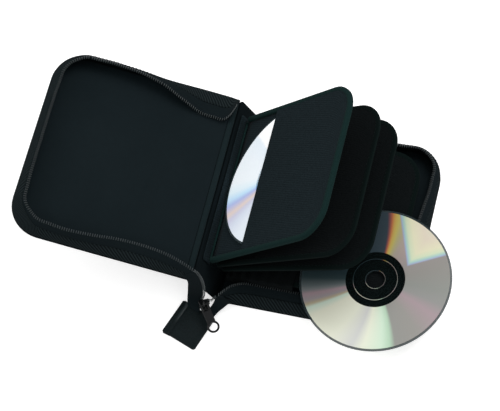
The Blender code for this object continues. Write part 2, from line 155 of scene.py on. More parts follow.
class Finish:
    """One material of the wallet."""

    def __init__(self, name, **constants):
        self.material = bpy.data.materials.new(name)
        self.material.use_nodes = True
        self.tree = self.material.node_tree
        self.shader = self.tree.nodes["Principled BSDF"]
        for socket, value in constants.items():
            self.shader.inputs[socket.replace("_", " ")].default_value = value

    def put(self, socket, value):
        if isinstance(value, Wire):
            self.tree.links.new(value.socket, socket)
        else:
            socket.default_value = value

    def node(self, kind, settings=None, values=None, out=0):
        made = self.tree.nodes.new(kind)
        for name, value in (settings or {}).items():
            if name == "ramp":
                stops = made.color_ramp.elements
                while len(stops) < len(value):
                    stops.new(0.5)
                for stop, (at, color) in zip(stops, value):
                    stop.position, stop.color = at, (*color, 1.0)
            else:
                setattr(made, name, value)
        for name, value in (values or {}).items():
            self.put(made.inputs[name], value)
        if isinstance(out, tuple):
            return [Wire(self, made.outputs[o]) for o in out]
        return Wire(self, made.outputs[out])

    def cloth(self):
        """Metres along and across the cloth, from the piece's own map."""
        at = self.node("ShaderNodeUVMap", {"uv_map": "Cloth"})
        return self.node("ShaderNodeSeparateXYZ", None, {0: at}, (0, 1))

    def place(self):
        return self.node("ShaderNodeTexCoord", None, None, 3)

    def cloud(self, scale, detail=3.0):
        """Soft patches in space, 0 to 1."""
        return self.node("ShaderNodeTexNoise", None,
                         {"Vector": self.place(), "Scale": scale, "Detail": detail,
                          "Roughness": 0.55})

    def tint(self, share, low, high):
        """Colour between low and high."""
        return self.node("ShaderNodeMix", {"data_type": "RGBA", "clamp_factor": True},
                         {0: share, 6: (*low, 1.0), 7: (*high, 1.0)}, 2)

    def bump(self, height, depth, strength=1.0, under=None):
        values = {"Height": height, "Distance": depth, "Strength": strength}
        if under is not None:
            values["Normal"] = under
        return self.node("ShaderNodeBump", None, values)

    def set(self, **sockets):
        for socket, value in sockets.items():
            self.put(self.shader.inputs[socket.replace("_", " ")], value)
        return self.material


print("wiring ready")

# %% [markdown]
# ## The cloths
# The wallet is black all over, so its parts differ by weave and not by colour. The outside is a
# heavy canvas, the inside of each cover a fine satin-like lining, the pockets a pressed felt
# with fine ribs, the wall a diagonal twill, and the zip tape a plain weave. Each is a pattern in
# metres on the cloth's own map, so that it bends with the piece. The felt and the binding of the
# lower sleeves are the same cloth in darker colours, because the photograph shows them in the
# first sleeve's shade.

# %% Outer canvas and cover lining
TURN = 2 * math.pi


def canvas():
    low, high = (0.0020, 0.0036, 0.0044), (0.0090, 0.0135, 0.0155)
    f = Finish("outer_canvas", Sheen_Weight=0.01, Sheen_Roughness=0.5, Specular_IOR_Level=0.0)
    u, v = f.cloth()
    yarn = 0.0011
    warp, weft = (u * (TURN / yarn)).sine(), (v * (TURN / yarn)).sine()
    weave = warp * weft * 0.5 + 0.5
    dust = f.cloud(45.0)
    return f.set(Base_Color=f.tint(weave * 0.55 + dust * 0.45, low, high),
                 Roughness=0.72 + dust * 0.16, Normal=f.bump(weave, 0.00012, 0.7))


def satin(name, low, high):
    f = Finish(name, Sheen_Weight=0.02, Sheen_Roughness=0.4, Specular_IOR_Level=0.015)
    u, v = f.cloth()
    yarn = 0.00055
    weave = ((u + v * 0.5) * (TURN / yarn)).sine() * (v * (TURN / yarn)).sine() * 0.5 + 0.5
    wide, fine = f.cloud(14.0, 2.0), f.cloud(220.0, 2.0)
    shade = wide * 0.7 + fine * 0.3
    creases = f.bump(f.cloud(38.0, 1.0), 0.0010, 0.35)
    return f.set(Base_Color=f.tint(shade, low, high), Roughness=0.48 + fine * 0.2,
                 Normal=f.bump(weave, 0.00004, 0.6, creases))


outer_canvas = canvas()
cover_satin = satin("cover_satin", (0.0044, 0.0082, 0.0100), (0.0108, 0.0168, 0.0196))
seam_satin = satin("seam_satin", (0.0048, 0.0100, 0.0115), (0.0135, 0.0225, 0.0250))
print("canvas and satin made")


# %% Pocket felt, twill band and plain tape
def ribbed(name, low, high, pitch, lean, depth, speck, rough=0.78, sheen=0.02, across=1.0):
    """Fine ribs that run across the cloth at a lean, broken up as spun yarn is."""
    f = Finish(name, Sheen_Weight=sheen, Sheen_Roughness=0.5, Specular_IOR_Level=0.0)
    u, v = f.cloth()
    wander = f.cloud(160.0, 2.0) - 0.5
    rib = ((u * across + v * lean + wander * (pitch * 0.5)) * (TURN / pitch)).sine() * 0.5 + 0.5
    fuzz = f.cloud(900.0, 2.0)
    shade = rib * (1 - speck) + fuzz * speck
    return f.set(Base_Color=f.tint(shade, low, high), Roughness=rough + fuzz * 0.12,
                 Normal=f.bump(shade, depth, 0.8))


FELT = dict(pitch=0.0019, lean=1.0, depth=0.00016, speck=0.80, across=0.25)
PLAIN_WEAVE = dict(pitch=0.0007, lean=0.0, depth=0.00006, speck=0.45, rough=0.7)
RIBBON = dict(pitch=0.0006, lean=0.0, depth=0.00005, speck=0.4, rough=0.55)
pocket_felt = ribbed("pocket_felt", (0.0014, 0.0034, 0.0046), (0.0200, 0.0310, 0.0360), **FELT)
shaded_felt = ribbed("shaded_felt", (0.0009, 0.0017, 0.0021), (0.0122, 0.0150, 0.0160), **FELT)
wall_twill = ribbed("wall_twill", (0.0008, 0.0016, 0.0020), (0.0225, 0.0315, 0.0345),
                    pitch=0.0025, lean=0.9, depth=0.00050, speck=0.3, rough=0.6, sheen=0.01)
plain_tape = ribbed("plain_tape", (0.0034, 0.0060, 0.0072), (0.0122, 0.0180, 0.0205),
                    **PLAIN_WEAVE)
gusset_cloth = ribbed("gusset_cloth", (0.0026, 0.0034, 0.0036), (0.0090, 0.0112, 0.0118),
                      **PLAIN_WEAVE)
binding_rib = ribbed("binding_rib", (0.0044, 0.0140, 0.0135), (0.0122, 0.0310, 0.0295), **RIBBON)
shaded_rib = ribbed("shaded_rib", (0.0024, 0.0052, 0.0050), (0.0066, 0.0120, 0.0114), **RIBBON)
print("felt, twill, tape and binding made")


# %% Thread, nylon teeth, leather and black metal
def plain(name, low, high, rough, grain, depth, **constants):
    f = Finish(name, **constants)
    grit = f.cloud(grain, 4.0)
    return f.set(Base_Color=f.tint(grit, low, high), Roughness=rough + (grit - 0.5) * 0.18,
                 Normal=f.bump(grit, depth, 0.5))


thread = plain("thread", (0.0030, 0.0060, 0.0062), (0.0120, 0.0185, 0.0190), 0.6, 2500.0,
               0.00004, Specular_IOR_Level=0.04)
nylon_teeth = plain("nylon_teeth", (0.028, 0.034, 0.036), (0.064, 0.076, 0.079), 0.34, 700.0,
                    0.00002, Specular_IOR_Level=0.20)
black_metal = plain("black_metal", (0.0015, 0.0020, 0.0024), (0.0050, 0.0060, 0.0070), 0.25, 380.0,
                    0.00002, Specular_IOR_Level=0.16, Coat_Weight=0.02, Coat_Roughness=0.12)

# Distances from the tab's left edge of its raised welt and of the groove beside it.
WELT_AT, GROOVE_AT = 0.0048, 0.0066


def leather():
    f = Finish("tab_leather", Specular_IOR_Level=0.06, Coat_Roughness=0.28, Coat_IOR=1.5)
    u, v = f.cloth()
    cells = f.node("ShaderNodeTexVoronoi", {"feature": "DISTANCE_TO_EDGE"},
                   {"Vector": f.place(), "Scale": 1300.0}, 0)
    grain = cells.step(0.02, 0.28)
    worn = f.cloud(120.0, 3.0)
    # Painted highlight along the welt's ridge, fading out towards one end: the mask lightens the
    # colour, and also adds a clear coat for gloss.
    painted_welt_highlight = (1 - (u - WELT_AT).size().step(0.0003, 0.0013)) * v.step(0.010, 0.022)
    shade = grain * 0.4 + worn * 0.3 + painted_welt_highlight * 1.2
    return f.set(Base_Color=f.tint(shade, (0.0014, 0.0036, 0.0042), (0.0120, 0.0200, 0.0220)),
                 Roughness=0.38 + worn * 0.16 + (1 - grain) * 0.12,
                 Coat_Weight=painted_welt_highlight * 0.35 + 0.02,
                 Normal=f.bump(grain, 0.00010, 0.7))


tab_leather = leather()
print("thread, teeth, metal and leather made")

# %% [markdown]
# ## The discs' finish
# The silver side of a disc splits light into colours, because its track is as fine as light
# waves. A path tracer doesn't do that, so painted reflections and painted light are laid on as
# sectors round the hub: on the loose disc a dark painted reflection of the sleeve above it and a
# bright corner of painted reflected light, and on both discs a little glow, which paints the light
# a disc throws back. They are in the material, so they don't move with the view. The hub and the
# outer rim are a dark plastic that lets part of the light through.


# %% Foil and clear plastic
def foil(name, sectors, metal, rough, glow, painted_corner=None):
    """sectors: painted reflections and light, as (degrees round the hub, colour), 0 to 360;
    the last argument: a bright corner of painted reflected light, its point, the inward ways of
    its two sides and its colours by millimetres from its border. The glow is an emission that
    paints the light a disc throws back."""
    f = Finish(name, Metallic=metal, Specular_IOR_Level=0.4, Emission_Strength=glow)
    x, y = f.cloth()
    far = (x * x + y * y) ** 0.5
    round_hub = (f.node("ShaderNodeMath", {"operation": "ARCTAN2"}, {0: y, 1: x}) / TURN
                 - (far - 0.039) * 0.555 * (y / far))
    share = f.node("ShaderNodeMath", {"operation": "WRAP"}, {0: round_hub, 1: 1.0, 2: 0.0})
    hue = f.node("ShaderNodeValToRGB", {"ramp": [(a / 360, c) for a, c in sectors]}, {0: share})
    if painted_corner:
        (cx, cy), ways, colours = painted_corner
        sides = [(x - cx) * across + (y - cy) * up for across, up in ways]
        inside = sides[0].maths("MINIMUM", *sides)
        ramp = f.node("ShaderNodeValToRGB", {"ramp": [(mm / 30, c) for mm, c in colours]},
                      {0: inside / 0.03 + 0.05})
        hue = f.node("ShaderNodeMix", {"data_type": "RGBA", "clamp_factor": True},
                     {0: inside.step(-0.0014, 0.0002), 6: hue, 7: ramp}, 2)
    ring = (far * (TURN / 0.0016)).sine() * 0.5 + 0.5
    smear = f.cloud(30.0, 2.0)
    return f.set(Base_Color=hue, Emission_Color=hue,
                 Roughness=rough + smear * 0.05 + ring * 0.01)


# Painted reflections on the loose disc: the dark sectors paint the reflection of the sleeve above
# it, and the pale and coloured ones paint reflected light.
LOOSE_PAINTED_REFLECTIONS = [
    (0, (0.25, 0.26, 0.24)), (20, (0.27, 0.26, 0.24)), (40, (0.30, 0.27, 0.26)),
    (58, (0.38, 0.31, 0.29)), (69, (0.42, 0.36, 0.30)), (75, (0.46, 0.42, 0.22)),
    (79, (0.56, 0.48, 0.13)), (82, (0.60, 0.40, 0.10)), (84.5, (0.52, 0.16, 0.07)),
    (86.5, (0.20, 0.07, 0.08)), (88.5, (0.040, 0.060, 0.075)), (178, (0.024, 0.044, 0.052)),
    (188, (0.036, 0.060, 0.066)), (196, (0.13, 0.16, 0.165)), (200, (0.22, 0.24, 0.245)),
    (204, (0.42, 0.31, 0.34)), (210, (0.37, 0.34, 0.35)), (213.5, (0.50, 0.42, 0.28)),
    (216.5, (0.62, 0.76, 0.64)), (224, (0.80, 0.81, 0.66)), (250, (0.81, 0.83, 0.69)),
    (267, (0.63, 0.64, 0.62)), (276, (0.79, 0.82, 0.67)), (290, (0.62, 0.78, 0.62)),
    (297, (0.44, 0.62, 0.46)), (301, (0.28, 0.28, 0.26)), (320, (0.29, 0.28, 0.26)),
    (338, (0.36, 0.28, 0.30)), (348, (0.27, 0.27, 0.26)), (360, (0.25, 0.26, 0.24)),
]
# A bright corner of painted reflected light on the loose disc, with coloured fringes at its
# border.
PAINTED_LIGHT_CORNER = ((0.0228, 0.0164), ((0.945, 0.33), (-0.445, 0.896)), [
    (0.0, (0.34, 0.32, 0.52)), (1.4, (0.36, 0.44, 0.62)), (2.8, (0.40, 0.62, 0.56)),
    (5.0, (0.64, 0.73, 0.51)), (9.0, (0.76, 0.74, 0.52)), (18.0, (0.73, 0.65, 0.52)),
    (30.0, (0.69, 0.68, 0.53))])
# Painted light on the disc in the first sleeve: pale sectors with a coloured streak.
SLEEVE_PAINTED_LIGHT = [
    (0, (0.85, 0.90, 0.95)), (60, (0.90, 0.94, 0.97)), (124, (0.98, 0.99, 1.00)),
    (128, (0.98, 0.99, 1.00)), (130, (0.78, 0.86, 0.93)), (150, (0.84, 0.90, 0.95)),
    (176, (0.86, 0.92, 0.96)), (186, (0.74, 0.88, 0.95)), (193, (0.54, 0.75, 0.94)),
    (199, (0.42, 0.50, 0.80)), (204, (0.58, 0.55, 0.68)), (209, (0.74, 0.62, 0.57)),
    (215, (0.60, 0.60, 0.73)), (222, (0.66, 0.71, 0.83)), (236, (0.76, 0.82, 0.89)),
    (260, (0.80, 0.86, 0.92)), (360, (0.85, 0.90, 0.95)),
]
# The glows are emissions that paint the light the discs throw back; the sleeve's disc glows most.
loose_foil = foil("loose_foil", LOOSE_PAINTED_REFLECTIONS, 0.18, 0.2, 0.06, PAINTED_LIGHT_CORNER)
sleeve_foil = foil("sleeve_foil", SLEEVE_PAINTED_LIGHT, 0.1, 0.3, 0.34)


def clear_plastic(name, low, high, cover):
    """Plastic that lets through what cover leaves, without the noise of a full refraction."""
    f = Finish(name, Alpha=cover, Specular_IOR_Level=0.0)
    haze = f.cloud(60.0, 2.0)
    return f.set(Base_Color=f.tint(haze, low, high), Roughness=0.35 + haze * 0.05)


disc_clear = clear_plastic("clear_plastic", (0.0032, 0.0062, 0.0062), (0.0070, 0.0112, 0.0110),
                           0.6)
disc_rim = clear_plastic("rim_plastic", (0.030, 0.045, 0.050), (0.060, 0.080, 0.086), 0.7)
print("foil sectors:", len(LOOSE_PAINTED_REFLECTIONS), len(SLEEVE_PAINTED_LIGHT))

# %% [markdown]
# ## Sizes and places from the CAD
# A new piece goes where its solid is, so the same sizes and the same seven turned frames are
# needed: the back cover, the spine, the front cover, and one for each sleeve. The printed boxes
# show whether they agree with the solids.

# %% Sizes, in metres
GAP = 0.0003
DISC_D, DISC_T, DISC_BORE = 0.120, 0.0012, 0.015
SHEET_T, POCKET_T, BINDING_W, BINDING_T = 0.0006, 0.0005, 0.0045, 0.0028
POCKET_MOUTH, DISC_OUT, SLEEVE_R, BEAD_R, ROOT_W = 0.042, 0.0095, 0.025, 0.0009, 0.0115
SLEEVE_W, SLEEVE_H, SLEEVE_SHIFT = 0.1365, 0.131, 0.0045
SHELL_T, LINING_T, LINING_INSET = 0.0018, 0.0012, 0.004
COVER_W, COVER_H, COVER_R = 0.1515, 0.162, 0.027
BAND_W, TAPE_W, COIL_R, WALL_T, WALL_INSET = 0.0090, 0.0070, 0.0011, 0.0010, 0.0009
WALL_CURL = math.radians(50)
SPINE_T, SEAM_BEAD_W, SEAM_BEAD_T = 0.0024, 0.0048, 0.0018
KNUCKLE, AXIS_Z, HINGE_X = 0.0015, 0.0015, -0.07725
SHELL_TOP = SHELL_T - AXIS_Z
WALL_BASE = SHELL_TOP + GAP + WALL_T / 2
WALL_W = BAND_W + TAPE_W + 2 * COIL_R + 2 * GAP
COIL_AT = WALL_W - COIL_R
WALL_CHORD = WALL_W * math.sin(WALL_CURL / 2) / (WALL_CURL / 2)
REACH_SIDE, REACH_NEAR, REACH_FAR = 0.0090, 0.0170, 0.0080
SPINE_W = 0.0362895
SPINE_LEAN, COVER_RISE = 25.0, 13.6
SLEEVE_RISE = (45.4, 34.1, 26.3, 3.0)
SLEEVE_AT = (0.026, 0.0195, 0.0125, 0.005)
SEATS = (0.0033, 0.0040, 0.0045, 0.0045)


# %% Turned frames
def turned(x, y, z, lean=0.0, turn=0.0):
    return (Matrix.Translation((x, y, z)) @ Matrix.Rotation(math.radians(turn), 4, "Z")
            @ Matrix.Rotation(math.radians(lean), 4, "Y"))


IN_BACK = turned(HINGE_X, 0, AXIS_Z)
IN_SPINE = turned(HINGE_X, 0, AXIS_Z, -SPINE_LEAN)
IN_FRONT = IN_SPINE @ turned(0, 0, SPINE_W, -COVER_RISE - SPINE_LEAN, 180)
IN_SLEEVE = [IN_SPINE @ turned(depth, SLEEVE_SHIFT, at, SPINE_LEAN - rise)
             for depth, at, rise in zip(SEATS, SLEEVE_AT, SLEEVE_RISE)]
for node, place in (("spine_panel", IN_SPINE), ("front_shell", IN_FRONT),
                    ("sleeve_1_bead", IN_SLEEVE[0]), ("sleeve_4_bead", IN_SLEEVE[3])):
    low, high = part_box(node)
    print(node, [round(a * 1000, 1) for a in (*low, *high)],
          [round(a * 1000, 1) for a in place.translation])

# %% [markdown]
# ## Two ways to make a piece of cloth
# A flat or curved cloth starts as one grid that is laid on its surface, and a Solidify modifier
# gives it its thickness. A cord, bead or binding starts as a grid too, but wraps round into a
# tube, whose seam is merged and whose ends are filled. Both carry a map in metres.


# %% Grid, tube and finished piece
def laid(columns, rows, place, size):
    """A grid laid on the surface place(u, v), with a map of size metres."""
    bm = bmesh.new()
    bmesh.ops.create_grid(bm, x_segments=columns, y_segments=rows, size=0.5)
    cloth_map = bm.loops.layers.uv.new("Cloth")
    for face in bm.faces:
        for loop in face.loops:
            at = loop.vert.co
            loop[cloth_map].uv = ((at.x + 0.5) * size[0], (at.y + 0.5) * size[1])
    for vert in bm.verts:
        vert.co = place(min(1.0, max(0.0, vert.co.x + 0.5)), min(1.0, max(0.0, vert.co.y + 0.5)))
    return bm


def wrapped(rings):
    """A grid wrapped round closed rings of as many points each."""
    count, last = len(rings[0]), len(rings) - 1
    along, around = [0.0], [0.0]
    for a, b in zip(rings, rings[1:]):
        along.append(along[-1] + (a[0] - b[0]).length)
    for i in range(count):
        around.append(around[-1] + (rings[0][i] - rings[0][(i + 1) % count]).length)
    bm = bmesh.new()
    bmesh.ops.create_grid(bm, x_segments=count, y_segments=last, size=0.5)
    cloth_map = bm.loops.layers.uv.new("Cloth")
    spot = {v: (round((v.co.x + 0.5) * count), round((v.co.y + 0.5) * last)) for v in bm.verts}
    for face in bm.faces:
        for loop in face.loops:
            i, j = spot[loop.vert]
            loop[cloth_map].uv = (along[j], around[i])
    for vert, (i, j) in spot.items():
        vert.co = rings[j][i % count]
    bmesh.ops.remove_doubles(bm, verts=bm.verts, dist=1e-6)
    bmesh.ops.holes_fill(bm, edges=[e for e in bm.edges if e.is_boundary])
    bmesh.ops.recalc_face_normals(bm, faces=bm.faces)
    return bm


def as_mesh(name, bm):
    """A mesh with the bmesh's shape; the bmesh is freed."""
    mesh = bpy.data.meshes.new(name)
    bm.to_mesh(mesh)
    bm.free()
    return mesh


def stamped(shape, places):
    """Copies of a small mesh, one for each point and its x, y and z ways."""
    bm = bmesh.new()
    for point, x, y, z in places:
        known = set(bm.verts)
        bm.from_mesh(shape)
        turn = Matrix((x, y, z)).transposed()
        bmesh.ops.transform(bm, matrix=Matrix.Translation(point) @ turn.to_4x4(),
                            verts=[v for v in bm.verts if v not in known])
    return bm


def piece(name, bm, finish, slot, body=None, nodes=(), place=None, thick=0.0, edge=0.0,
          sharp=40):
    """A finished piece: in its place, with its modifiers, on its body, for its CAD nodes."""
    if place is not None:
        bmesh.ops.transform(bm, matrix=place, verts=bm.verts)
    mesh = as_mesh(name, bm)
    for material in finish if isinstance(finish, (list, tuple)) else [finish]:
        mesh.materials.append(material)
    mesh.shade_smooth()
    mesh.set_sharp_from_angle(angle=math.radians(sharp))
    made = bpy.data.objects.new(name, mesh)
    bpy.context.scene.collection.objects.link(made)
    if thick:
        wall = made.modifiers.new("Thickness", "SOLIDIFY")
        wall.thickness, wall.offset = thick, 0.0
    if edge:
        soft = made.modifiers.new("Edge", "BEVEL")
        soft.width, soft.segments, soft.limit_method = edge, 3, "ANGLE"
        soft.angle_limit = math.radians(50)
    if body:
        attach(made, body)
    if nodes:
        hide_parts(*nodes)
    return made


def rumple(point, scale, depth):
    """A small unevenness that depends only on where it is."""
    return depth * noise.noise(Vector(point) * scale)


# %% Panels with two round corners
def panel(x0, x1, height, radius, lift=lambda x, y: 0.0):
    """place(u, v) and size of a panel with square corners at x0 and round ones at x1."""
    straight, bend = x1 - radius - x0, radius * math.pi / 2

    def place(u, v):
        s = u * (straight + bend)
        if s <= straight:
            x, half = x0 + s, height / 2
        else:
            a = (s - straight) / radius
            x = x1 - radius + radius * math.sin(a)
            half = height / 2 - radius + radius * math.cos(a)
        y = (2 * v - 1) * half
        return Vector((x, y, lift(x, y)))
    return place, (straight + bend, height)


def panel_area(x0, x1, height, radius):
    return (x1 - x0) * height - (2 - math.pi / 2) * radius * radius


print("sleeve pocket:", round(panel_area(POCKET_MOUTH, SLEEVE_W, SLEEVE_H, SLEEVE_R) * 1e4), "cm2")

# %% [markdown]
# ## The covers
# Each cover is a stiff board in canvas outside and a thin padded lining inside. The lining is
# sewn down round its edge and a little loose in the middle, so it swells softly and shows a few
# shallow creases.

# %% Shells
def swell(x, y):
    """How far the front cover's board bows, from its hinge."""
    return rumple((x, y, 0.3), 9.0, 0.0005)


def level(x, y):
    return 0.0


for side, place_in, bow in (("back", IN_BACK, level), ("front", IN_FRONT, swell)):
    middle = (SHELL_TOP - AXIS_Z) / 2
    lay, size = panel(KNUCKLE, KNUCKLE + COVER_W, COVER_H, COVER_R,
                      lambda x, y, bow=bow: middle + bow(x, y))
    shell = piece(f"{side}_cover_canvas", laid(44, 40, lay, size), outer_canvas, "shell_cloth",
                  f"{side}_cover", [f"{side}_shell"], place_in, SHELL_T, 0.0005)
print("shells made")


# %% Linings
CREASES = [(0.052, 0.10, -0.010, 0.052, 0.0009), (0.047, 0.16, -0.018, 0.040, 0.0006),
           (0.076, -0.12, -0.050, 0.010, 0.00025)]


def lining_rise(x, y, start):
    """Height of the lining above its sewn edge: a low pad with a few creases."""
    x1, half = KNUCKLE + COVER_W - LINING_INSET, COVER_H / 2 - LINING_INSET
    rim = min(x - start, x1 - x, half - abs(y))
    pad = min(1.0, max(0.0, rim / 0.010))
    pad = pad * pad * (3 - 2 * pad)
    crease = noise.noise(Vector((x * 26, y * 9, 1.7))) * 0.0005
    for at, lean, low, high, depth in CREASES:
        along = min(1.0, max(0.0, (y - low) / 0.012)) * min(1.0, max(0.0, (high - y) / 0.012))
        crease += depth * along * math.exp(-((x - at - lean * y) / 0.0011) ** 2)
    return pad * (0.0004 + crease)


for side, place_in, start in (("back", IN_BACK, KNUCKLE + 0.0016),
                              ("front", IN_FRONT, KNUCKLE + 0.0004 + SEAM_BEAD_W + GAP)):
    bow = swell if side == "front" else level
    middle = SHELL_TOP + GAP + LINING_T / 2
    lay, size = panel(start, KNUCKLE + COVER_W - LINING_INSET, COVER_H - 2 * LINING_INSET,
                      COVER_R - LINING_INSET,
                      lambda x, y, bow=bow, start=start:
                      middle + bow(x, y) + lining_rise(x, y, start))
    lining = piece(f"{side}_lining_satin", laid(70, 70, lay, size), cover_satin, "lining_cloth",
                   f"{side}_cover", [f"{side}_lining"], place_in, LINING_T, 0.0004)
print("linings made")

# %% [markdown]
# ## The walls and the zip
# Round three sides of each cover stands a wall: a twill band sewn to the edge, the zip's tape
# above it, and the nylon coil on the rim. Unzipped, the wall curls inward. All three pieces lie
# on one curled surface, so that one function says where any point of the wall is.

# %% The curled wall
BACK_REACH = [(0.0, -0.0028), (0.02, 0.0108), (0.04, 0.0166), (0.08, 0.0172),
              (0.16, REACH_NEAR), (0.30, REACH_SIDE * 1.2), (0.38, REACH_SIDE),
              (0.52, REACH_SIDE), (0.58, REACH_SIDE * 0.65), (0.70, REACH_SIDE * 0.65),
              (0.80, REACH_FAR), (1.0, REACH_FAR)]
FRONT_REACH = [(0.0, 0.0115), (0.006, 0.0160), (0.014, 0.0176), (0.03, 0.0178),
               (0.055, 0.0178), (0.085, 0.0155), (0.12, 0.0124), (0.16, 0.0092),
               (0.20, 0.0080), (0.24, 0.0088), (0.30, 0.0102), (0.36, 0.0104), (0.46, 0.0094),
               (0.56, 0.0100), (0.64, 0.0116), (0.70, 0.0122), (0.76, 0.0094), (0.80, 0.0074),
               (0.84, 0.0090), (0.88, 0.0125), (0.92, 0.0132), (0.96, 0.0104), (1.0, 0.0028)]
PULLED = [(0.0, 0.0), (0.006, 0.0040), (0.014, 0.0072), (0.03, 0.0076), (0.055, 0.0064),
          (0.085, 0.0042), (0.13, 0.0), (1.0, 0.0)]
WIDER = [(0.0, 0.0), (0.20, 0.0), (0.30, 0.0050), (0.66, 0.0050), (0.78, 0.0012), (1.0, 0.0)]
WALL_PARTS = {"back": [("", BACK_REACH, 0.0, 1.0)],
              "front": [("_by_spine", FRONT_REACH, 0.0, 0.12),
                        ("_far_side", FRONT_REACH, 0.12, 0.24), ("", FRONT_REACH, 0.24, 1.0)]}


def eased(stops, t):
    """Smooth curve through (t, value) stops."""
    k = next((i for i in range(len(stops) - 2) if t <= stops[i + 1][0]), len(stops) - 2)
    (t0, v0), (t1, v1) = stops[k], stops[k + 1]
    before, after = stops[max(0, k - 1)], stops[min(len(stops) - 1, k + 2)]
    m0 = (v1 - before[1]) / (t1 - before[0]) * (t1 - t0)
    m1 = (after[1] - v0) / (after[0] - t0) * (t1 - t0)
    f = min(1.0, max(0.0, (t - t0) / (t1 - t0)))
    return (v0 * (1 + 2 * f) * (1 - f) ** 2 + m0 * f * (1 - f) ** 2
            + v1 * f * f * (3 - 2 * f) + m1 * f * f * (f - 1))


def edge_point(t):
    """Point and inward way on the cover's edge, t from one spine corner to the other."""
    x0, x1, y = KNUCKLE + 0.0015, KNUCKLE + COVER_W, COVER_H / 2
    run, side, k = x1 - COVER_R - x0, COVER_H - 2 * COVER_R, t * 50
    if k <= 12:
        return x0 + run * k / 12, -y, 0.0, 1.0
    if k <= 20:
        a = math.radians(-90 + 90 * (k - 12) / 8)
        return (x1 - COVER_R + COVER_R * math.cos(a), COVER_R - y + COVER_R * math.sin(a),
                -math.cos(a), -math.sin(a))
    if k <= 30:
        return x1, COVER_R - y + side * (k - 20) / 10, -1.0, 0.0
    if k <= 38:
        a = math.radians(90 * (k - 30) / 8)
        return (x1 - COVER_R + COVER_R * math.cos(a), y - COVER_R + COVER_R * math.sin(a),
                -math.cos(a), -math.sin(a))
    return x1 - COVER_R - run * (k - 38) / 12, y, 0.0, -1.0


def wall_point(stops, t, s, off=0.0):
    """Point s up the wall from the cover's edge, off outward from its middle."""
    x, y, nx, ny = edge_point(t)
    base = math.acos(min(0.99, eased(stops, t) / WALL_CHORD)) + WALL_CURL / 2
    tilt = base - WALL_CURL * s / WALL_W
    inward = WALL_W / WALL_CURL * (math.sin(base) - math.sin(tilt)) + WALL_INSET
    rise = WALL_W / WALL_CURL * (math.cos(tilt) - math.cos(base))
    share = s / WALL_W
    off += rumple((x * 1.3, y * 1.3, stops[2][1]), 55.0, 0.0005) * share
    inward -= off * math.sin(tilt)
    if stops is FRONT_REACH:
        inward += eased(PULLED, t) * share
    return Vector((x + nx * inward, y + ny * inward, WALL_BASE + rise + off * math.cos(tilt)))


def wall_length(t0, t1, steps=400):
    points = [Vector((*edge_point(t0 + (t1 - t0) * i / steps)[:2], 0)) for i in range(steps + 1)]
    return sum((a - b).length for a, b in zip(points, points[1:]))


def seam_at(stops, t):
    """How far up the wall the band meets the tape."""
    return BAND_W + (eased(WIDER, t) if stops is FRONT_REACH else 0.0)


def stood_up(made, part):
    """Gives a separate stretch of wall a mesh of its own."""
    if part:
        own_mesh(made)


print("wall:", round(wall_length(0, 1) * 1000), "mm round the edge")

# %% Bands and tapes
IN_COVER = {"back": IN_BACK, "front": IN_FRONT}
FOOT_IN = 0.0008
for side, parts in WALL_PARTS.items():
    for part, stops, t0, t1 in parts:
        run = wall_length(t0, t1)
        for kind, finish, slot in (("band", wall_twill, "twill"), ("tape", plain_tape, "woven")):
            def strip_point(u, v):
                t = t0 + (t1 - t0) * u
                edge = seam_at(stops, t)
                return wall_point(stops, t, edge * v - FOOT_IN * (1 - v) if kind == "band" else
                                  edge + GAP + (BAND_W + TAPE_W - edge) * v)
            strip = laid(round(260 * (t1 - t0)), 12, strip_point,
                         (run, BAND_W if kind == "band" else TAPE_W))
            made = piece(f"{side}_wall_{kind}{part}", strip, finish, slot, f"{side}_cover",
                         [f"{side}_{kind}"], IN_COVER[side], WALL_T, 0.00035)
            stood_up(made, part)
print("bands and tapes made")


# %% Teeth of the coil
def tooth():
    """One turn of the coil: a bar bent round the tape's edge, along +X at the origin."""
    bm = bmesh.new()
    bmesh.ops.create_circle(bm, segments=6, radius=0.00034, cap_ends=False,
                            matrix=Matrix.Translation((-0.0010, 0, 0.00062))
                            @ Matrix.Rotation(math.pi / 2, 4, "Y"))
    loop = list(bm.edges)
    route = [((0.0014, 0, 0), 0.0), ((0.00045, 0, -0.00024), 36.0), ((0.0001, 0, -0.0005), 72.0),
             ((-0.0003, 0, -0.0004), 54.0), ((-0.0012, 0, -0.00010), 18.0)]
    for step, bend in route:
        grown = bmesh.ops.extrude_edge_only(bm, edges=loop)["geom"]
        ring = [g for g in grown if isinstance(g, bmesh.types.BMVert)]
        loop = [g for g in grown if isinstance(g, bmesh.types.BMEdge)]
        bmesh.ops.translate(bm, verts=ring, vec=step)
        centre = sum((v.co for v in ring), Vector()) / len(ring)
        bmesh.ops.rotate(bm, verts=ring, cent=centre,
                         matrix=Matrix.Rotation(math.radians(bend), 3, "Y"))
    bmesh.ops.holes_fill(bm, edges=[e for e in bm.edges if e.is_boundary])
    bmesh.ops.recalc_face_normals(bm, faces=bm.faces)
    return as_mesh("tooth", bm)


TOOTH = tooth()
TOOTH_PITCH = 0.00185


def teeth_along(points, outs, ups):
    """Teeth on a line of points; each tooth points out, and lies flat across up."""
    places = []
    for point, out, up in zip(points, outs, ups):
        out = out.normalized()
        up = (up - out * up.dot(out)).normalized()
        places.append((point, out, up.cross(out), up))
    return stamped(TOOTH, places)


def evenly(curve, pitch, fine=2000):
    """Values of t at which curve(t) has moved on by one pitch."""
    found, gone, last = [], 0.0, curve(0.0)
    for i in range(1, fine + 1):
        here = curve(i / fine)
        gone += (here - last).length
        last = here
        if gone >= pitch:
            found.append(i / fine)
            gone -= pitch
    return found


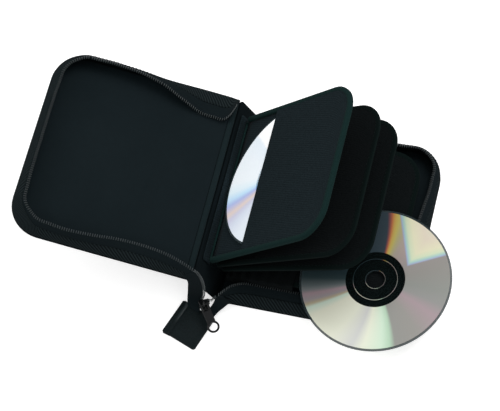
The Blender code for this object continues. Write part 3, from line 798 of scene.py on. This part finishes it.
for side, parts in WALL_PARTS.items():
    for part, stops, t0, t1 in parts:
        def rim(share, rise=0.0, off=0.0):
            return wall_point(stops, t0 + (t1 - t0) * share, COIL_AT - 0.0008 + rise, off)
        spots = evenly(rim, TOOTH_PITCH)
        outs = [rim(a, 0.001) - rim(a, -0.001) for a in spots]
        ups = [rim(a, 0.0, 0.001) - rim(a) for a in spots]
        made = piece(f"{side}_wall_teeth{part}", teeth_along([rim(a) for a in spots], outs, ups),
                     nylon_teeth, "nylon", f"{side}_cover", [f"{side}_coil"], IN_COVER[side])
        stood_up(made, part)
        print(made.name, "teeth:", len(spots))

# %% [markdown]
# ## The spine
# The spine is a padded canvas strip between the two covers. Inside it runs a strip that the
# sleeves are sewn to, and along the front cover's edge a corded seam.

# %% Spine and inner strip
spine_lay, spine_size = panel(-0.0012, SPINE_W + 0.0012, COVER_H - 0.001, 0.0015,
                              lambda x, y: rumple((x, y, 4.0), 20.0, 0.0003))


def spine_place(u, v):
    p = spine_lay(u, v)
    return Vector((p.z, -p.y, p.x))


piece("spine_canvas", laid(24, 60, spine_place, spine_size), outer_canvas, "shell_cloth", "spine",
      ["spine_panel"], IN_SPINE, SPINE_T, 0.0011)


def round_ring(centre, across, out, half_w, half_t, count=12, square=0.5):
    """Closed ring with rounded sides about a centre: half_w along across, half_t along out."""
    ring = []
    for k in range(count):
        a = TURN * k / count
        c, s = math.cos(a), math.sin(a)
        ring.append(centre + across * (half_w * math.copysign(abs(c) ** square, c))
                    + out * (half_t * math.copysign(abs(s) ** square, s)))
    return ring


X, Z = Vector((1, 0, 0)), Vector((0, 0, 1))
strip_low, strip_high = min(SLEEVE_AT) - 0.0024, max(SLEEVE_AT) + 0.0024
strip_half = SLEEVE_H / 2 - BINDING_W
strip_rings = [round_ring(Vector((0.00180, SLEEVE_SHIFT + strip_half * (2 * j / 30 - 1),
                                  (strip_low + strip_high) / 2)), Z, X,
                          (strip_high - strip_low) / 2, 0.0003, 16)
               for j in range(31)]
piece("inner_strip", wrapped(strip_rings), pocket_felt, "pocket_cloth", "spine",
      ["binding_strip"], IN_SPINE)

flap_lay, flap_size = panel(0.0240, 0.0342, SLEEVE_H - 0.001, 0.001)


def flap_place(u, v):
    p = flap_lay(u, v)
    return Vector((0.00215, p.y + SLEEVE_SHIFT, p.x))


flap = piece("spine_flap", laid(6, 60, flap_place, flap_size), pocket_felt, "pocket_cloth",
             "spine", (), IN_SPINE, 0.0005)


# %% Cloth round the two folds
def fold_cloth(name, hinge, route):
    """Canvas that runs on from one cover round a fold of the spine; route is in x and z."""
    half = COVER_H / 2 - 0.0012

    def place(u, v):
        k = min(len(route) - 2, int(v * (len(route) - 1)))
        f = v * (len(route) - 1) - k
        x = route[k][0] + (route[k + 1][0] - route[k][0]) * f
        z = route[k][1] + (route[k + 1][1] - route[k][1]) * f
        return Vector((hinge.x + x, half * (2 * u - 1), hinge.z + z))
    made = piece(name, laid(60, 2 * (len(route) - 1), place, (2 * half, 0.008)), outer_canvas,
                 "shell_cloth", thick=0.00025)
    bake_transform(made)


def polar(radius, degrees):
    return radius * math.cos(math.radians(degrees)), radius * math.sin(math.radians(degrees))


def along(point, degrees, far):
    dx, dz = polar(far, degrees)
    return point[0] + dx, point[1] + dz


back_hinge, front_hinge = IN_SPINE.translation, IN_FRONT.translation
spine_out = 180 + SPINE_LEAN
route = [(0.0040, -0.0011), (0.0022, -0.0012), (0.0007, -0.00137)] + [
    polar(0.00137, 270 - (270 - spine_out) * k / 6) for k in range(7)]
route += [along(route[-1], spine_out - 90, far) for far in (0.001, 0.0025)]
fold_cloth("fold_at_back", back_hinge, route)
cover_out = 270 - COVER_RISE
valley = (cover_out + spine_out) / 2
corner = polar(0.00160 / math.cos(math.radians((cover_out - spine_out) / 2)), valley)
on_cover = along(polar(0.00164, cover_out), cover_out - 90, 0.0040)
on_spine = along(polar(0.00136, spine_out), spine_out + 90, 0.0040)
route = [on_cover] + [tuple(on_cover[i] * (1 - f) ** 2 + 2 * corner[i] * f * (1 - f)
                            + on_spine[i] * f * f for i in (0, 1))
                      for f in (k / 8 for k in range(1, 8))] + [on_spine]
fold_cloth("fold_at_front", front_hinge, route)
print("fold cloths made")

# %% Corded seam
bead_half = COVER_H / 2 - LINING_INSET
bead_rings = []
for j in range(81):
    y = bead_half * (2 * j / 80 - 1)
    centre = Vector((KNUCKLE + 0.0004 + SEAM_BEAD_W / 2, y, SHELL_TOP + GAP + SEAM_BEAD_T / 2))
    bead_rings.append(round_ring(centre, X, Z, SEAM_BEAD_W / 2,
                                 SEAM_BEAD_T / 2 * (1 + 0.1 * math.sin(y * 900)), 14, 0.75))
piece("corded_seam", wrapped(bead_rings), seam_satin, "shell_cloth", "front_cover",
      ["seam_bead"], IN_FRONT)
print("spine made")

# %% [markdown]
# ## The sleeves
# Four stiff leaves, each a middle sheet with a felt pocket on either side. A folded ribbon binds
# the three free edges. The first pocket holds a disc that is drawn a little out of its mouth.


# %% Binding round three sides
def binding_route(steps=10):
    """Middle line of the binding and its inward way, from one end at the spine to the other."""
    h, r = SLEEVE_H / 2 - BINDING_W / 2, SLEEVE_R - BINDING_W / 2
    x0, x1 = 4 * BEAD_R, SLEEVE_W - BINDING_W / 2
    line = [(x0 + (x1 - r - x0) * i / 24, -h, 0.0, 1.0) for i in range(24)]
    line += [(x1 - r + r * math.cos(a), r - h + r * math.sin(a), -math.cos(a), -math.sin(a))
             for a in (math.radians(-90 + 90 * i / steps) for i in range(steps))]
    line += [(x1, r - h + (2 * h - 2 * r) * i / 16, -1.0, 0.0) for i in range(16)]
    line += [(x1 - r + r * math.cos(a), h - r + r * math.sin(a), -math.cos(a), -math.sin(a))
             for a in (math.radians(90 * i / steps) for i in range(steps))]
    line += [(x1 - r - (x1 - r - x0) * i / 24, h, 0.0, -1.0) for i in range(25)]
    return line


STITCH_L, STITCH_R, FINE_STITCH_R, STITCH_PITCH = 0.0021, 0.00030, 0.00024, 0.0031


def stitches(points, ways, ups, radius):
    """Short thread stitches on a line of points, each a small bar that dips at its ends."""
    bm = bmesh.new()
    bmesh.ops.create_icosphere(bm, subdivisions=1, radius=1.0)
    bmesh.ops.scale(bm, vec=(STITCH_L / 2, radius, radius), verts=bm.verts)
    places = []
    for point, way, up in zip(points, ways, ups):
        way = way.normalized()
        side = up.cross(way).normalized()
        places.append((point, way, side, way.cross(side)))
    return stamped(as_mesh("stitch", bm), places)


def stitched(name, curve, up, body, place, radius=STITCH_R):
    """A row of stitches along curve(t), with up(t) as the way out of the cloth."""
    spots = evenly(curve, STITCH_PITCH)
    ways = [curve(min(1, t + 0.002)) - curve(max(0, t - 0.002)) for t in spots]
    return piece(name, stitches([curve(t) for t in spots], ways, [up(t) for t in spots], radius),
                 thread, "nylon", body, (), place)


ROUTE = binding_route()
TUCK = 0.0009
sheet_x1 = SLEEVE_W - BINDING_W + TUCK
sheet_h = SLEEVE_H - 2 * BINDING_W + 2 * TUCK
sheet_r = SLEEVE_R - BINDING_W + TUCK

for number, place_in in enumerate(IN_SLEEVE, start=1):
    body = name = f"sleeve_{number}"
    felt_finish = pocket_felt if number == 1 else shaded_felt
    rib_finish = binding_rib if number == 1 else shaded_rib
    extra = DISC_T + GAP if number == 1 else 0.0
    thick = BINDING_T + extra
    rings = [round_ring(Vector((x, y, extra / 2)), Vector((nx, ny, 0)), Z,
                        BINDING_W / 2, thick / 2, 12, 0.55) for x, y, nx, ny in ROUTE]
    piece(f"{name}_ribbon", wrapped(rings), rib_finish, "edging", body,
          [f"{name}_binding"], place_in)

    def wave(x, y, k=number):
        return rumple((x, y, k * 2.0), 14.0, 0.00025)
    lay, size = panel(4 * BEAD_R, sheet_x1, sheet_h, sheet_r)
    sheet = piece(f"{name}_middle", laid(30, 30, lay, size), felt_finish, "lining_cloth", body,
                  [f"{name}_sheet"], place_in, SHEET_T)
    for part, node, z in (("front_felt", "pocket", SHEET_T / 2 + GAP + extra + POCKET_T / 2),
                          ("back_felt", "back_pocket", -SHEET_T / 2 - GAP - POCKET_T / 2)):
        lay, size = panel(POCKET_MOUTH, sheet_x1, sheet_h, sheet_r,
                          lambda x, y, z=z: z + wave(x, y))
        felt = piece(f"{name}_{part}", laid(60, 60, lay, size), felt_finish, "pocket_cloth",
                     body, [f"{name}_{node}"], place_in, POCKET_T, 0.00015)

    rows = [round_ring(Vector((0, sheet_h * (j / 24 - 0.5), 0)), X, Z, BEAD_R, BEAD_R, 10, 1.0)
            for j in range(25)]
    piece(f"{name}_sewn_edge", wrapped(rows), rib_finish, "edging", body,
          [f"{name}_bead"], place_in)

    for face, z in (("upper", thick / 2 + extra / 2), ("lower", -thick / 2 + extra / 2)):
        def sewn(t, z=z):
            k = min(len(ROUTE) - 2, int(t * (len(ROUTE) - 1)))
            f = t * (len(ROUTE) - 1) - k
            x, y, nx, ny = [a + (b - a) * f for a, b in zip(ROUTE[k], ROUTE[k + 1])]
            inward = BINDING_W * 0.26
            return Vector((x + nx * inward, y + ny * inward, z * 0.93))
        stitched(f"{name}_stitches_{face}", sewn, lambda t: Z, body, place_in,
                 FINE_STITCH_R)
print("sleeves made:", len(IN_SLEEVE))

# %% [markdown]
# ## The discs
# A disc is a turned shape, so its section is spun once round the hub. Its section has the small
# ring that keeps stacked discs apart, rounded edges and the step where the foil begins.


# %% Discs
FOIL_R0, RIM_W = 0.0235, 0.0016


def disc(name, place_in, body, node, foil_finish):
    r0, r1, h = DISC_BORE / 2, DISC_D / 2, DISC_T / 2
    e = 0.00012
    section = [(r0 + e, -h), (FOIL_R0, -h), (r1 - RIM_W, -h), (r1 - e, -h), (r1, -h + e),
               (r1, h - e), (r1 - e, h), (r1 - RIM_W, h), (FOIL_R0, h),
               (0.0180, h), (0.0176, h + 0.0001),
               (0.0173, h + 0.0001), (0.0169, h), (r0 + 0.00050, h), (r0 + 0.00040, h + 0.00008),
               (r0 + 0.00022, h + 0.00008), (r0 + e, h), (r0, h - e), (r0, -h + e)]
    bm = bmesh.new()
    verts = [bm.verts.new((x, 0, z)) for x, z in section]
    edges = [bm.edges.new((a, b)) for a, b in zip(verts, verts[1:] + verts[:1])]
    bmesh.ops.spin(bm, geom=verts + edges, cent=(0, 0, 0), axis=(0, 0, 1), angle=TURN, steps=144,
                   use_merge=True)
    bmesh.ops.remove_doubles(bm, verts=bm.verts, dist=1e-7)
    bmesh.ops.recalc_face_normals(bm, faces=bm.faces)
    disc_map = bm.loops.layers.uv.new("Cloth")
    for face in bm.faces:
        middle = face.calc_center_median()
        far = math.hypot(middle.x, middle.y)
        # Foil faces, and the flat tops of the two small rings, which take the foil's colours as
        # painted highlights. The bore's edge and the outer rim take the lighter rim plastic.
        foil_or_painted_glint = (FOIL_R0 - e < far < r1 - RIM_W + e or middle.z > h + 0.00007
                  and (0.0173 < far < 0.0175 or r0 + 0.00025 < far < r0 + 0.0004))
        clear_edge = far > r1 - RIM_W + e or far < r0 + 0.0002
        face.material_index = 0 if foil_or_painted_glint else 2 if clear_edge else 1
        for loop in face.loops:
            loop[disc_map].uv = (loop.vert.co.x, loop.vert.co.y)
    return piece(name, bm, [foil_finish, disc_clear, disc_rim], "disc_silver", body, [node],
                 place_in, sharp=6)


disc("disc_in_pocket", IN_SLEEVE[0] @ Matrix.Translation(
    (ROOT_W + DISC_D / 2 - DISC_OUT, 0, SHEET_T / 2 + GAP + DISC_T / 2)), "sleeve_1",
    "sleeve_disc", sleeve_foil)
low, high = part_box("loose_disc")
middle = (low + high) / 2
tilt = math.asin(min(1.0, (high.z - low.z - DISC_T) / DISC_D))
disc("disc_on_top", Matrix.Translation(middle) @ Matrix.Rotation(-tilt, 4, "Y"), "back_cover",
     "loose_disc", loose_foil)
print("loose disc at", [round(a * 1000, 1) for a in middle], "tilt", round(math.degrees(tilt), 2))

# %% [markdown]
# ## Seams and the gusset
# A row of stitches on either face runs where each band meets its tape. Gathered cloth fills the
# corner between the last sleeve and the back cover's wall.

# %% Seam rows and the gathered gusset
for side, parts in WALL_PARTS.items():
    for part, stops, t0, t1 in parts:
        def seam(share, off=0.0):
            t = t0 + (t1 - t0) * share
            return wall_point(stops, t, seam_at(stops, t) - 0.0007, off)
        for face, off in (("in", -WALL_T / 2), ("out", WALL_T / 2)):
            made = stitched(f"{side}_wall_stitches_{face}{part}", lambda a: seam(a, off),
                            lambda a: seam(a, 0.001) - seam(a), f"{side}_cover", IN_COVER[side])
            stood_up(made, part)

GUSSET_SIZE = (0.058, 0.022)


def gusset_place(u, v):
    """u from the spine's corner along the wall, v from the wall inward, over the last sleeve."""
    x, y = 0.0030 + 0.054 * u, -0.0700 + (0.014 + 0.010 * u) * v
    pleat = math.sin((u ** 0.7) * 40 + v * 2.6 + 1.8 * rumple((x, y, 4.0), 60.0, 1.0))
    rise = min(1.0, max(0.0, (y + 0.0695) / 0.0034))
    beside = min(1.0, max(0.0, (-0.0657 - y) / 0.0030))
    droop = 0.0060 * math.exp(-(u / 0.13) ** 2) * beside
    z = (-0.0026 + 0.0049 * rise * rise * (3 - 2 * rise) + droop + 0.0008 * pleat * rise
         + rumple((x, y, 7.0), 90.0, 0.0003))
    return Vector((x, y, z))


gusset = piece("gathered_gusset", laid(150, 44, gusset_place, GUSSET_SIZE), gusset_cloth,
               "lining_cloth", "sleeve_4", (), IN_SLEEVE[3], 0.0004)
print("seams and gusset made")

# %% [markdown]
# ## The zip's end
# Both tapes run out past the covers and end on a square leather tab. The slider sits where the
# two rows of teeth meet, and its pull lies over the tab, a tapered strip with a ring.

# %% Places of the zip's end
END_X, END_Y = HINGE_X, -COVER_H / 2
TAB_AT, TAB_SIZE, TAB_T, TAB_TURN = (END_X - 0.01655, END_Y - 0.0243), 0.031, 0.0018, -19.5
SLIDER_AT, SLIDER_TURN = (END_X - 0.00695, END_Y - 0.0080, 0.0052), 20.0
SLIDER_L, SLIDER_W, SLIDER_H = 0.0095, 0.0086, 0.0042
TAIL_T = 0.0008


# %% Leather tab
def tab_lift(x, y):
    """Raised welt along one side and turned edges, as a folded and stitched patch has."""
    half = TAB_SIZE / 2
    groove = math.exp(-((x + half - GROOVE_AT) / 0.0005) ** 2)
    welt = math.exp(-((x + half - WELT_AT) / 0.0010) ** 4)
    hem = math.exp(-((y + half - 0.0026) / 0.0005) ** 2)
    rim = min(half - abs(x), half - abs(y))
    turned_edge = 0.00015 * (1 - min(1.0, max(0.0, (rim - 0.0018) / 0.0012)))
    return (TAB_T / 2 - 0.0001 - 0.00035 * groove + 0.00045 * welt - 0.0002 * hem + turned_edge
            + rumple((x, y, 9.0), 70.0, 0.0001))


def tab_place(u, v):
    x, y = (u - 0.5) * TAB_SIZE, (v - 0.5) * TAB_SIZE
    half, r = TAB_SIZE / 2 - 0.0002, 0.0013
    cx, cy = max(0.0, abs(x) - (half - r)), max(0.0, abs(y) - (half - r))
    far = math.hypot(cx, cy)
    if far > r:
        x = math.copysign(half - r + cx * r / far, x)
        y = math.copysign(half - r + cy * r / far, y)
    return Vector((x, y, tab_lift(x, y)))


IN_TAB = turned(*TAB_AT, 0, 0, TAB_TURN)
piece("leather_tab", laid(64, 64, tab_place, (TAB_SIZE, TAB_SIZE)), tab_leather, "hide",
      "back_cover", ["zip_tab"], IN_TAB, TAB_T - 0.0004, 0.0004)


# %% Tape tails with their teeth
def through(points, t):
    """Smooth curve through points, t from 0 to 1."""
    k = min(len(points) - 2, int(t * (len(points) - 1)))
    f = t * (len(points) - 1) - k
    p = [Vector(points[max(0, min(len(points) - 1, k + i))]) for i in (-1, 0, 1, 2)]
    return 0.5 * ((2 * p[1]) + (p[2] - p[0]) * f + (2 * p[0] - 5 * p[1] + 4 * p[2] - p[3]) * f * f
                  + (3 * p[1] - p[0] - 3 * p[2] + p[3]) * f ** 3)


def brought_in(made, side):
    """Gives the front half of the zip's end a mesh of its own."""
    if side == "front":
        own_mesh(made)


FRONT_TAIL = [((-0.0990, -0.0812, 0.0440), (-0.0905, -0.0794, 0.0510)),
              ((-0.0962, -0.0824, 0.0360), (-0.0868, -0.0800, 0.0460)),
              ((-0.0972, -0.0828, 0.0250), (-0.0858, -0.0806, 0.0345)),
              ((-0.0986, -0.0832, 0.0140), (-0.0856, -0.0814, 0.0215)),
              ((-0.0994, -0.0850, 0.0060), (-0.0868, -0.0828, 0.0105)),
              ((-0.0985, -0.0885, 0.0032), (-0.0880, -0.0862, 0.0052)),
              ((-0.0960, -0.0915, 0.0026), (-0.0875, -0.0945, 0.0026))]
BACK_TAIL = [((-0.0715, -0.0818, 0.0188), (-0.0640, -0.0824, 0.0075)),
             ((-0.0750, -0.0832, 0.0165), (-0.0668, -0.0836, 0.0055)),
             ((-0.0768, -0.0850, 0.0108), (-0.0694, -0.0864, 0.0042)),
             ((-0.0792, -0.0880, 0.0060), (-0.0725, -0.0900, 0.0032)),
             ((-0.0822, -0.0915, 0.0038), (-0.0749, -0.0942, 0.0030)),
             ((-0.0832, -0.0960, 0.0026), (-0.0772, -0.0985, 0.0026))]
for side, tail in (("front", FRONT_TAIL), ("back", BACK_TAIL)):
    lefts, rights = [a for a, b in tail], [b for a, b in tail]
    made = piece(f"{side}_tape_end", laid(8, 48, lambda u, v: through(lefts, v).lerp(
        through(rights, v), u), (0.0125, 0.05)), plain_tape, "woven", "back_cover",
        [f"{side}_tail"], None, TAIL_T, 0.0003)
    brought_in(made, side)


def on_slider(x, y, z=0.0):
    turn = math.radians(SLIDER_TURN)
    return (SLIDER_AT[0] + x * math.cos(turn) - y * math.sin(turn),
            SLIDER_AT[1] + x * math.sin(turn) + y * math.cos(turn),
            SLIDER_AT[2] + SLIDER_H / 2 + z)


MOUTH = SLIDER_L / 2 + GAP
FRONT_RUN = [(-0.0911, -0.0787, 0.0528), (-0.0876, -0.0793, 0.0500), (-0.0854, -0.0800, 0.0425),
             (-0.0845, -0.0806, 0.0322), (-0.0849, -0.0812, 0.0216), (-0.0858, -0.0828, 0.0130),
             on_slider(-SLIDER_W / 4, MOUTH)]
BACK_RUN = [(-0.0742, -0.0834, 0.0192), (-0.0770, -0.0843, 0.0152), (-0.0792, -0.0850, 0.0112),
            on_slider(SLIDER_W / 4, MOUTH)]
for side, run, out in (("front", FRONT_RUN, Vector((1, -0.15, 0.2))),
                       ("back", BACK_RUN, Vector((-0.25, -0.2, 1)))):
    spots = evenly(lambda t: through(run, t), TOOTH_PITCH)
    points = [through(run, t) for t in spots]
    ways = [(through(run, min(1, t + 0.01)) - through(run, max(0, t - 0.01))) for t in spots]
    ups = [w.cross(out) for w in ways]
    made = piece(f"{side}_end_teeth", teeth_along(points, [out] * len(points), ups), nylon_teeth,
                 "nylon", "back_cover", [f"{side}_tail_coil"])
    brought_in(made, side)
print("zip end made")

# %% [markdown]
# ## Slider and pull
# The slider is a small casting: a shield-shaped top plate, a groove all round where the tape runs
# through, and a loop on top. The pull was stamped from sheet, so its edges are only broken.


# %% Slider, loop and pull
def plate(outline, thickness, at=0.0, holes=()):
    """Plate filled between its outline and its holes, then pulled up to its thickness."""
    bm = bmesh.new()
    edges = []
    for ring in (outline, *holes):
        verts = [bm.verts.new((x, y, at)) for x, y in ring]
        edges += [bm.edges.new((a, b)) for a, b in zip(verts, verts[1:] + verts[:1])]
    bmesh.ops.triangle_fill(bm, edges=edges, use_beauty=True)
    grown = bmesh.ops.extrude_face_region(bm, geom=list(bm.faces))["geom"]
    bmesh.ops.translate(bm, vec=(0, 0, thickness),
                        verts=[g for g in grown if isinstance(g, bmesh.types.BMVert)])
    bmesh.ops.recalc_face_normals(bm, faces=bm.faces)
    return bm


def arc(cx, cy, r, start, end, steps):
    return [(cx + r * math.cos(math.radians(start + (end - start) * i / steps)),
             cy + r * math.sin(math.radians(start + (end - start) * i / steps)))
            for i in range(steps + 1)]


def join(*parts):
    """One bmesh from several."""
    whole = bmesh.new()
    for bm in parts:
        whole.from_mesh(as_mesh("part", bm))
    return whole


IN_SLIDER = turned(*SLIDER_AT, 0, SLIDER_TURN)
w, l = SLIDER_W / 2, SLIDER_L / 2
shield = [(-0.62 * w, -l), (0.62 * w, -l), (0.72 * w, -0.1 * l), (w, 0.35 * l), (w, 0.8 * l),
          (0.75 * w, l), (-0.75 * w, l), (-w, 0.8 * l), (-w, 0.35 * l), (-0.72 * w, -0.1 * l)]
waist = [(x * 0.86, y * 0.9) for x, y in shield]
slider_bm = join(plate(shield, 0.0013), plate(waist, 0.0020, 0.0011),
                 plate(shield, 0.0013, 0.0029))
piece("slider_body", slider_bm, black_metal, "black_metal", "zip_slider", ["slider"], IN_SLIDER,
      edge=0.00045)

BAIL_L, BAIL_H, BAIL_T, BAIL_W = 0.0064, 0.0036, 0.0010, 0.0014
hl = BAIL_L / 2
bail_rings = []
for t in range(25):
    a = math.pi * t / 24
    y = -(hl - BAIL_T / 2) * math.copysign(abs(math.cos(a)) ** 0.45, math.cos(a))
    z = (BAIL_H - BAIL_T / 2) * math.sin(a) ** 0.45 if 0 < t < 24 else 0.0
    way = Vector((0, math.cos(a), math.sin(a)))
    bail_rings.append(round_ring(Vector((0, y, z)), X, Vector((0, -math.cos(a), math.sin(a))),
                                 BAIL_W / 2, BAIL_T / 2, 10, 0.8))
piece("slider_loop", wrapped(bail_rings), black_metal, "black_metal", "zip_slider",
      ["slider_bail"], IN_SLIDER @ Matrix.Translation((0, 0, SLIDER_H + GAP)))

PULL_L, PULL_W, PULL_T = 0.0195, 0.0076, 0.0010
PULL_RING, PULL_HOLE, PULL_BAR = 0.0050, 0.0036, 0.0008
q = PULL_W / 2
tip = math.degrees(math.asin(0.9 * q / PULL_RING))
outline = [(-PULL_BAR, -q), (0.6 * PULL_L, -0.9 * q),
           *arc(PULL_L, 0, PULL_RING, 180 + tip, 540 - tip, 36), (0.6 * PULL_L, 0.9 * q),
           (-PULL_BAR, q)]
window = [(PULL_BAR, -0.0019), (PULL_BAR + 0.0045, -0.0019), (PULL_BAR + 0.0045, 0.0019),
          (PULL_BAR, 0.0019)]
pull_x, pull_y, _ = on_slider(0, -0.0009)
IN_PULL = turned(pull_x, pull_y, SLIDER_AT[2] + SLIDER_H + GAP + 0.0013, 6.0, 36.0 - 90.0)
eye = arc(PULL_L, 0, PULL_HOLE - 0.0003, 0, 350, 35)
piece("pull_strip", plate(outline, PULL_T, -PULL_T / 2, [window, eye]), black_metal,
      "black_metal", "zip_pull", ["zip_pull"], IN_PULL, edge=0.0003)
print("slider and pull made")

# %% [markdown]
# ## Floor and surround
# The floor is a plain pale sheet. The camera and mirror-like surfaces see it and the surround as
# white, but neither adds light to the wallet beyond a soft fill.


# %% Floor and world
def pale_floor():
    f = Finish("pale_floor", Roughness=0.9, Specular_IOR_Level=0.1)
    seen = f.node("ShaderNodeLightPath", None, None, (0, 3, 6))
    share = seen[0].maths("MAXIMUM", seen[0], seen[1].maths("MAXIMUM", seen[1], seen[2]))
    f.shader.inputs["Emission Strength"].default_value = 0.0
    glow = f.node("ShaderNodeEmission", None, {"Color": (1, 1, 1, 1), "Strength": 0.62})
    both = f.node("ShaderNodeAddShader", None, {0: Wire(f, f.shader.outputs[0]), 1: glow})
    mixed = f.node("ShaderNodeMixShader", None,
                   {0: share, 1: Wire(f, f.shader.outputs[0]), 2: both})
    f.put(f.tree.nodes["Material Output"].inputs["Surface"], mixed)
    mottle = f.cloud(3.0, 2.0)
    return f.set(Base_Color=f.tint(mottle, (0.80, 0.80, 0.80), (0.84, 0.84, 0.84)))


floor_bm = bmesh.new()
bmesh.ops.create_grid(floor_bm, x_segments=4, y_segments=4, size=3.0)
floor_mesh = as_mesh("floor", floor_bm)
floor_mesh.materials.append(pale_floor())
floor = bpy.data.objects.new("floor", floor_mesh)
floor.location.z = -0.0002
bpy.context.scene.collection.objects.link(floor)

world = bpy.data.worlds.new("surround")
bpy.context.scene.world = world
world.use_nodes = True
tree = world.node_tree
rays = tree.nodes.new("ShaderNodeLightPath").outputs


def larger(a, b):
    """The larger of two of the world's values."""
    made = tree.nodes.new("ShaderNodeMath")
    made.operation = "MAXIMUM"
    tree.links.new(a, made.inputs[0])
    tree.links.new(b, made.inputs[1])
    return made.outputs[0]


level_of = tree.nodes.new("ShaderNodeMapRange")
level_of.inputs["To Min"].default_value = 0.45
level_of.inputs["To Max"].default_value = 1.0
seen = larger(rays["Is Camera Ray"], larger(rays["Is Glossy Ray"], rays["Is Transmission Ray"]))
tree.links.new(seen, level_of.inputs["Value"])
tree.nodes["Background"].inputs["Color"].default_value = (1, 1, 1, 1)
tree.links.new(level_of.outputs[0], tree.nodes["Background"].inputs["Strength"])
bpy.context.scene.view_settings.view_transform = "Standard"
print("floor and surround made")
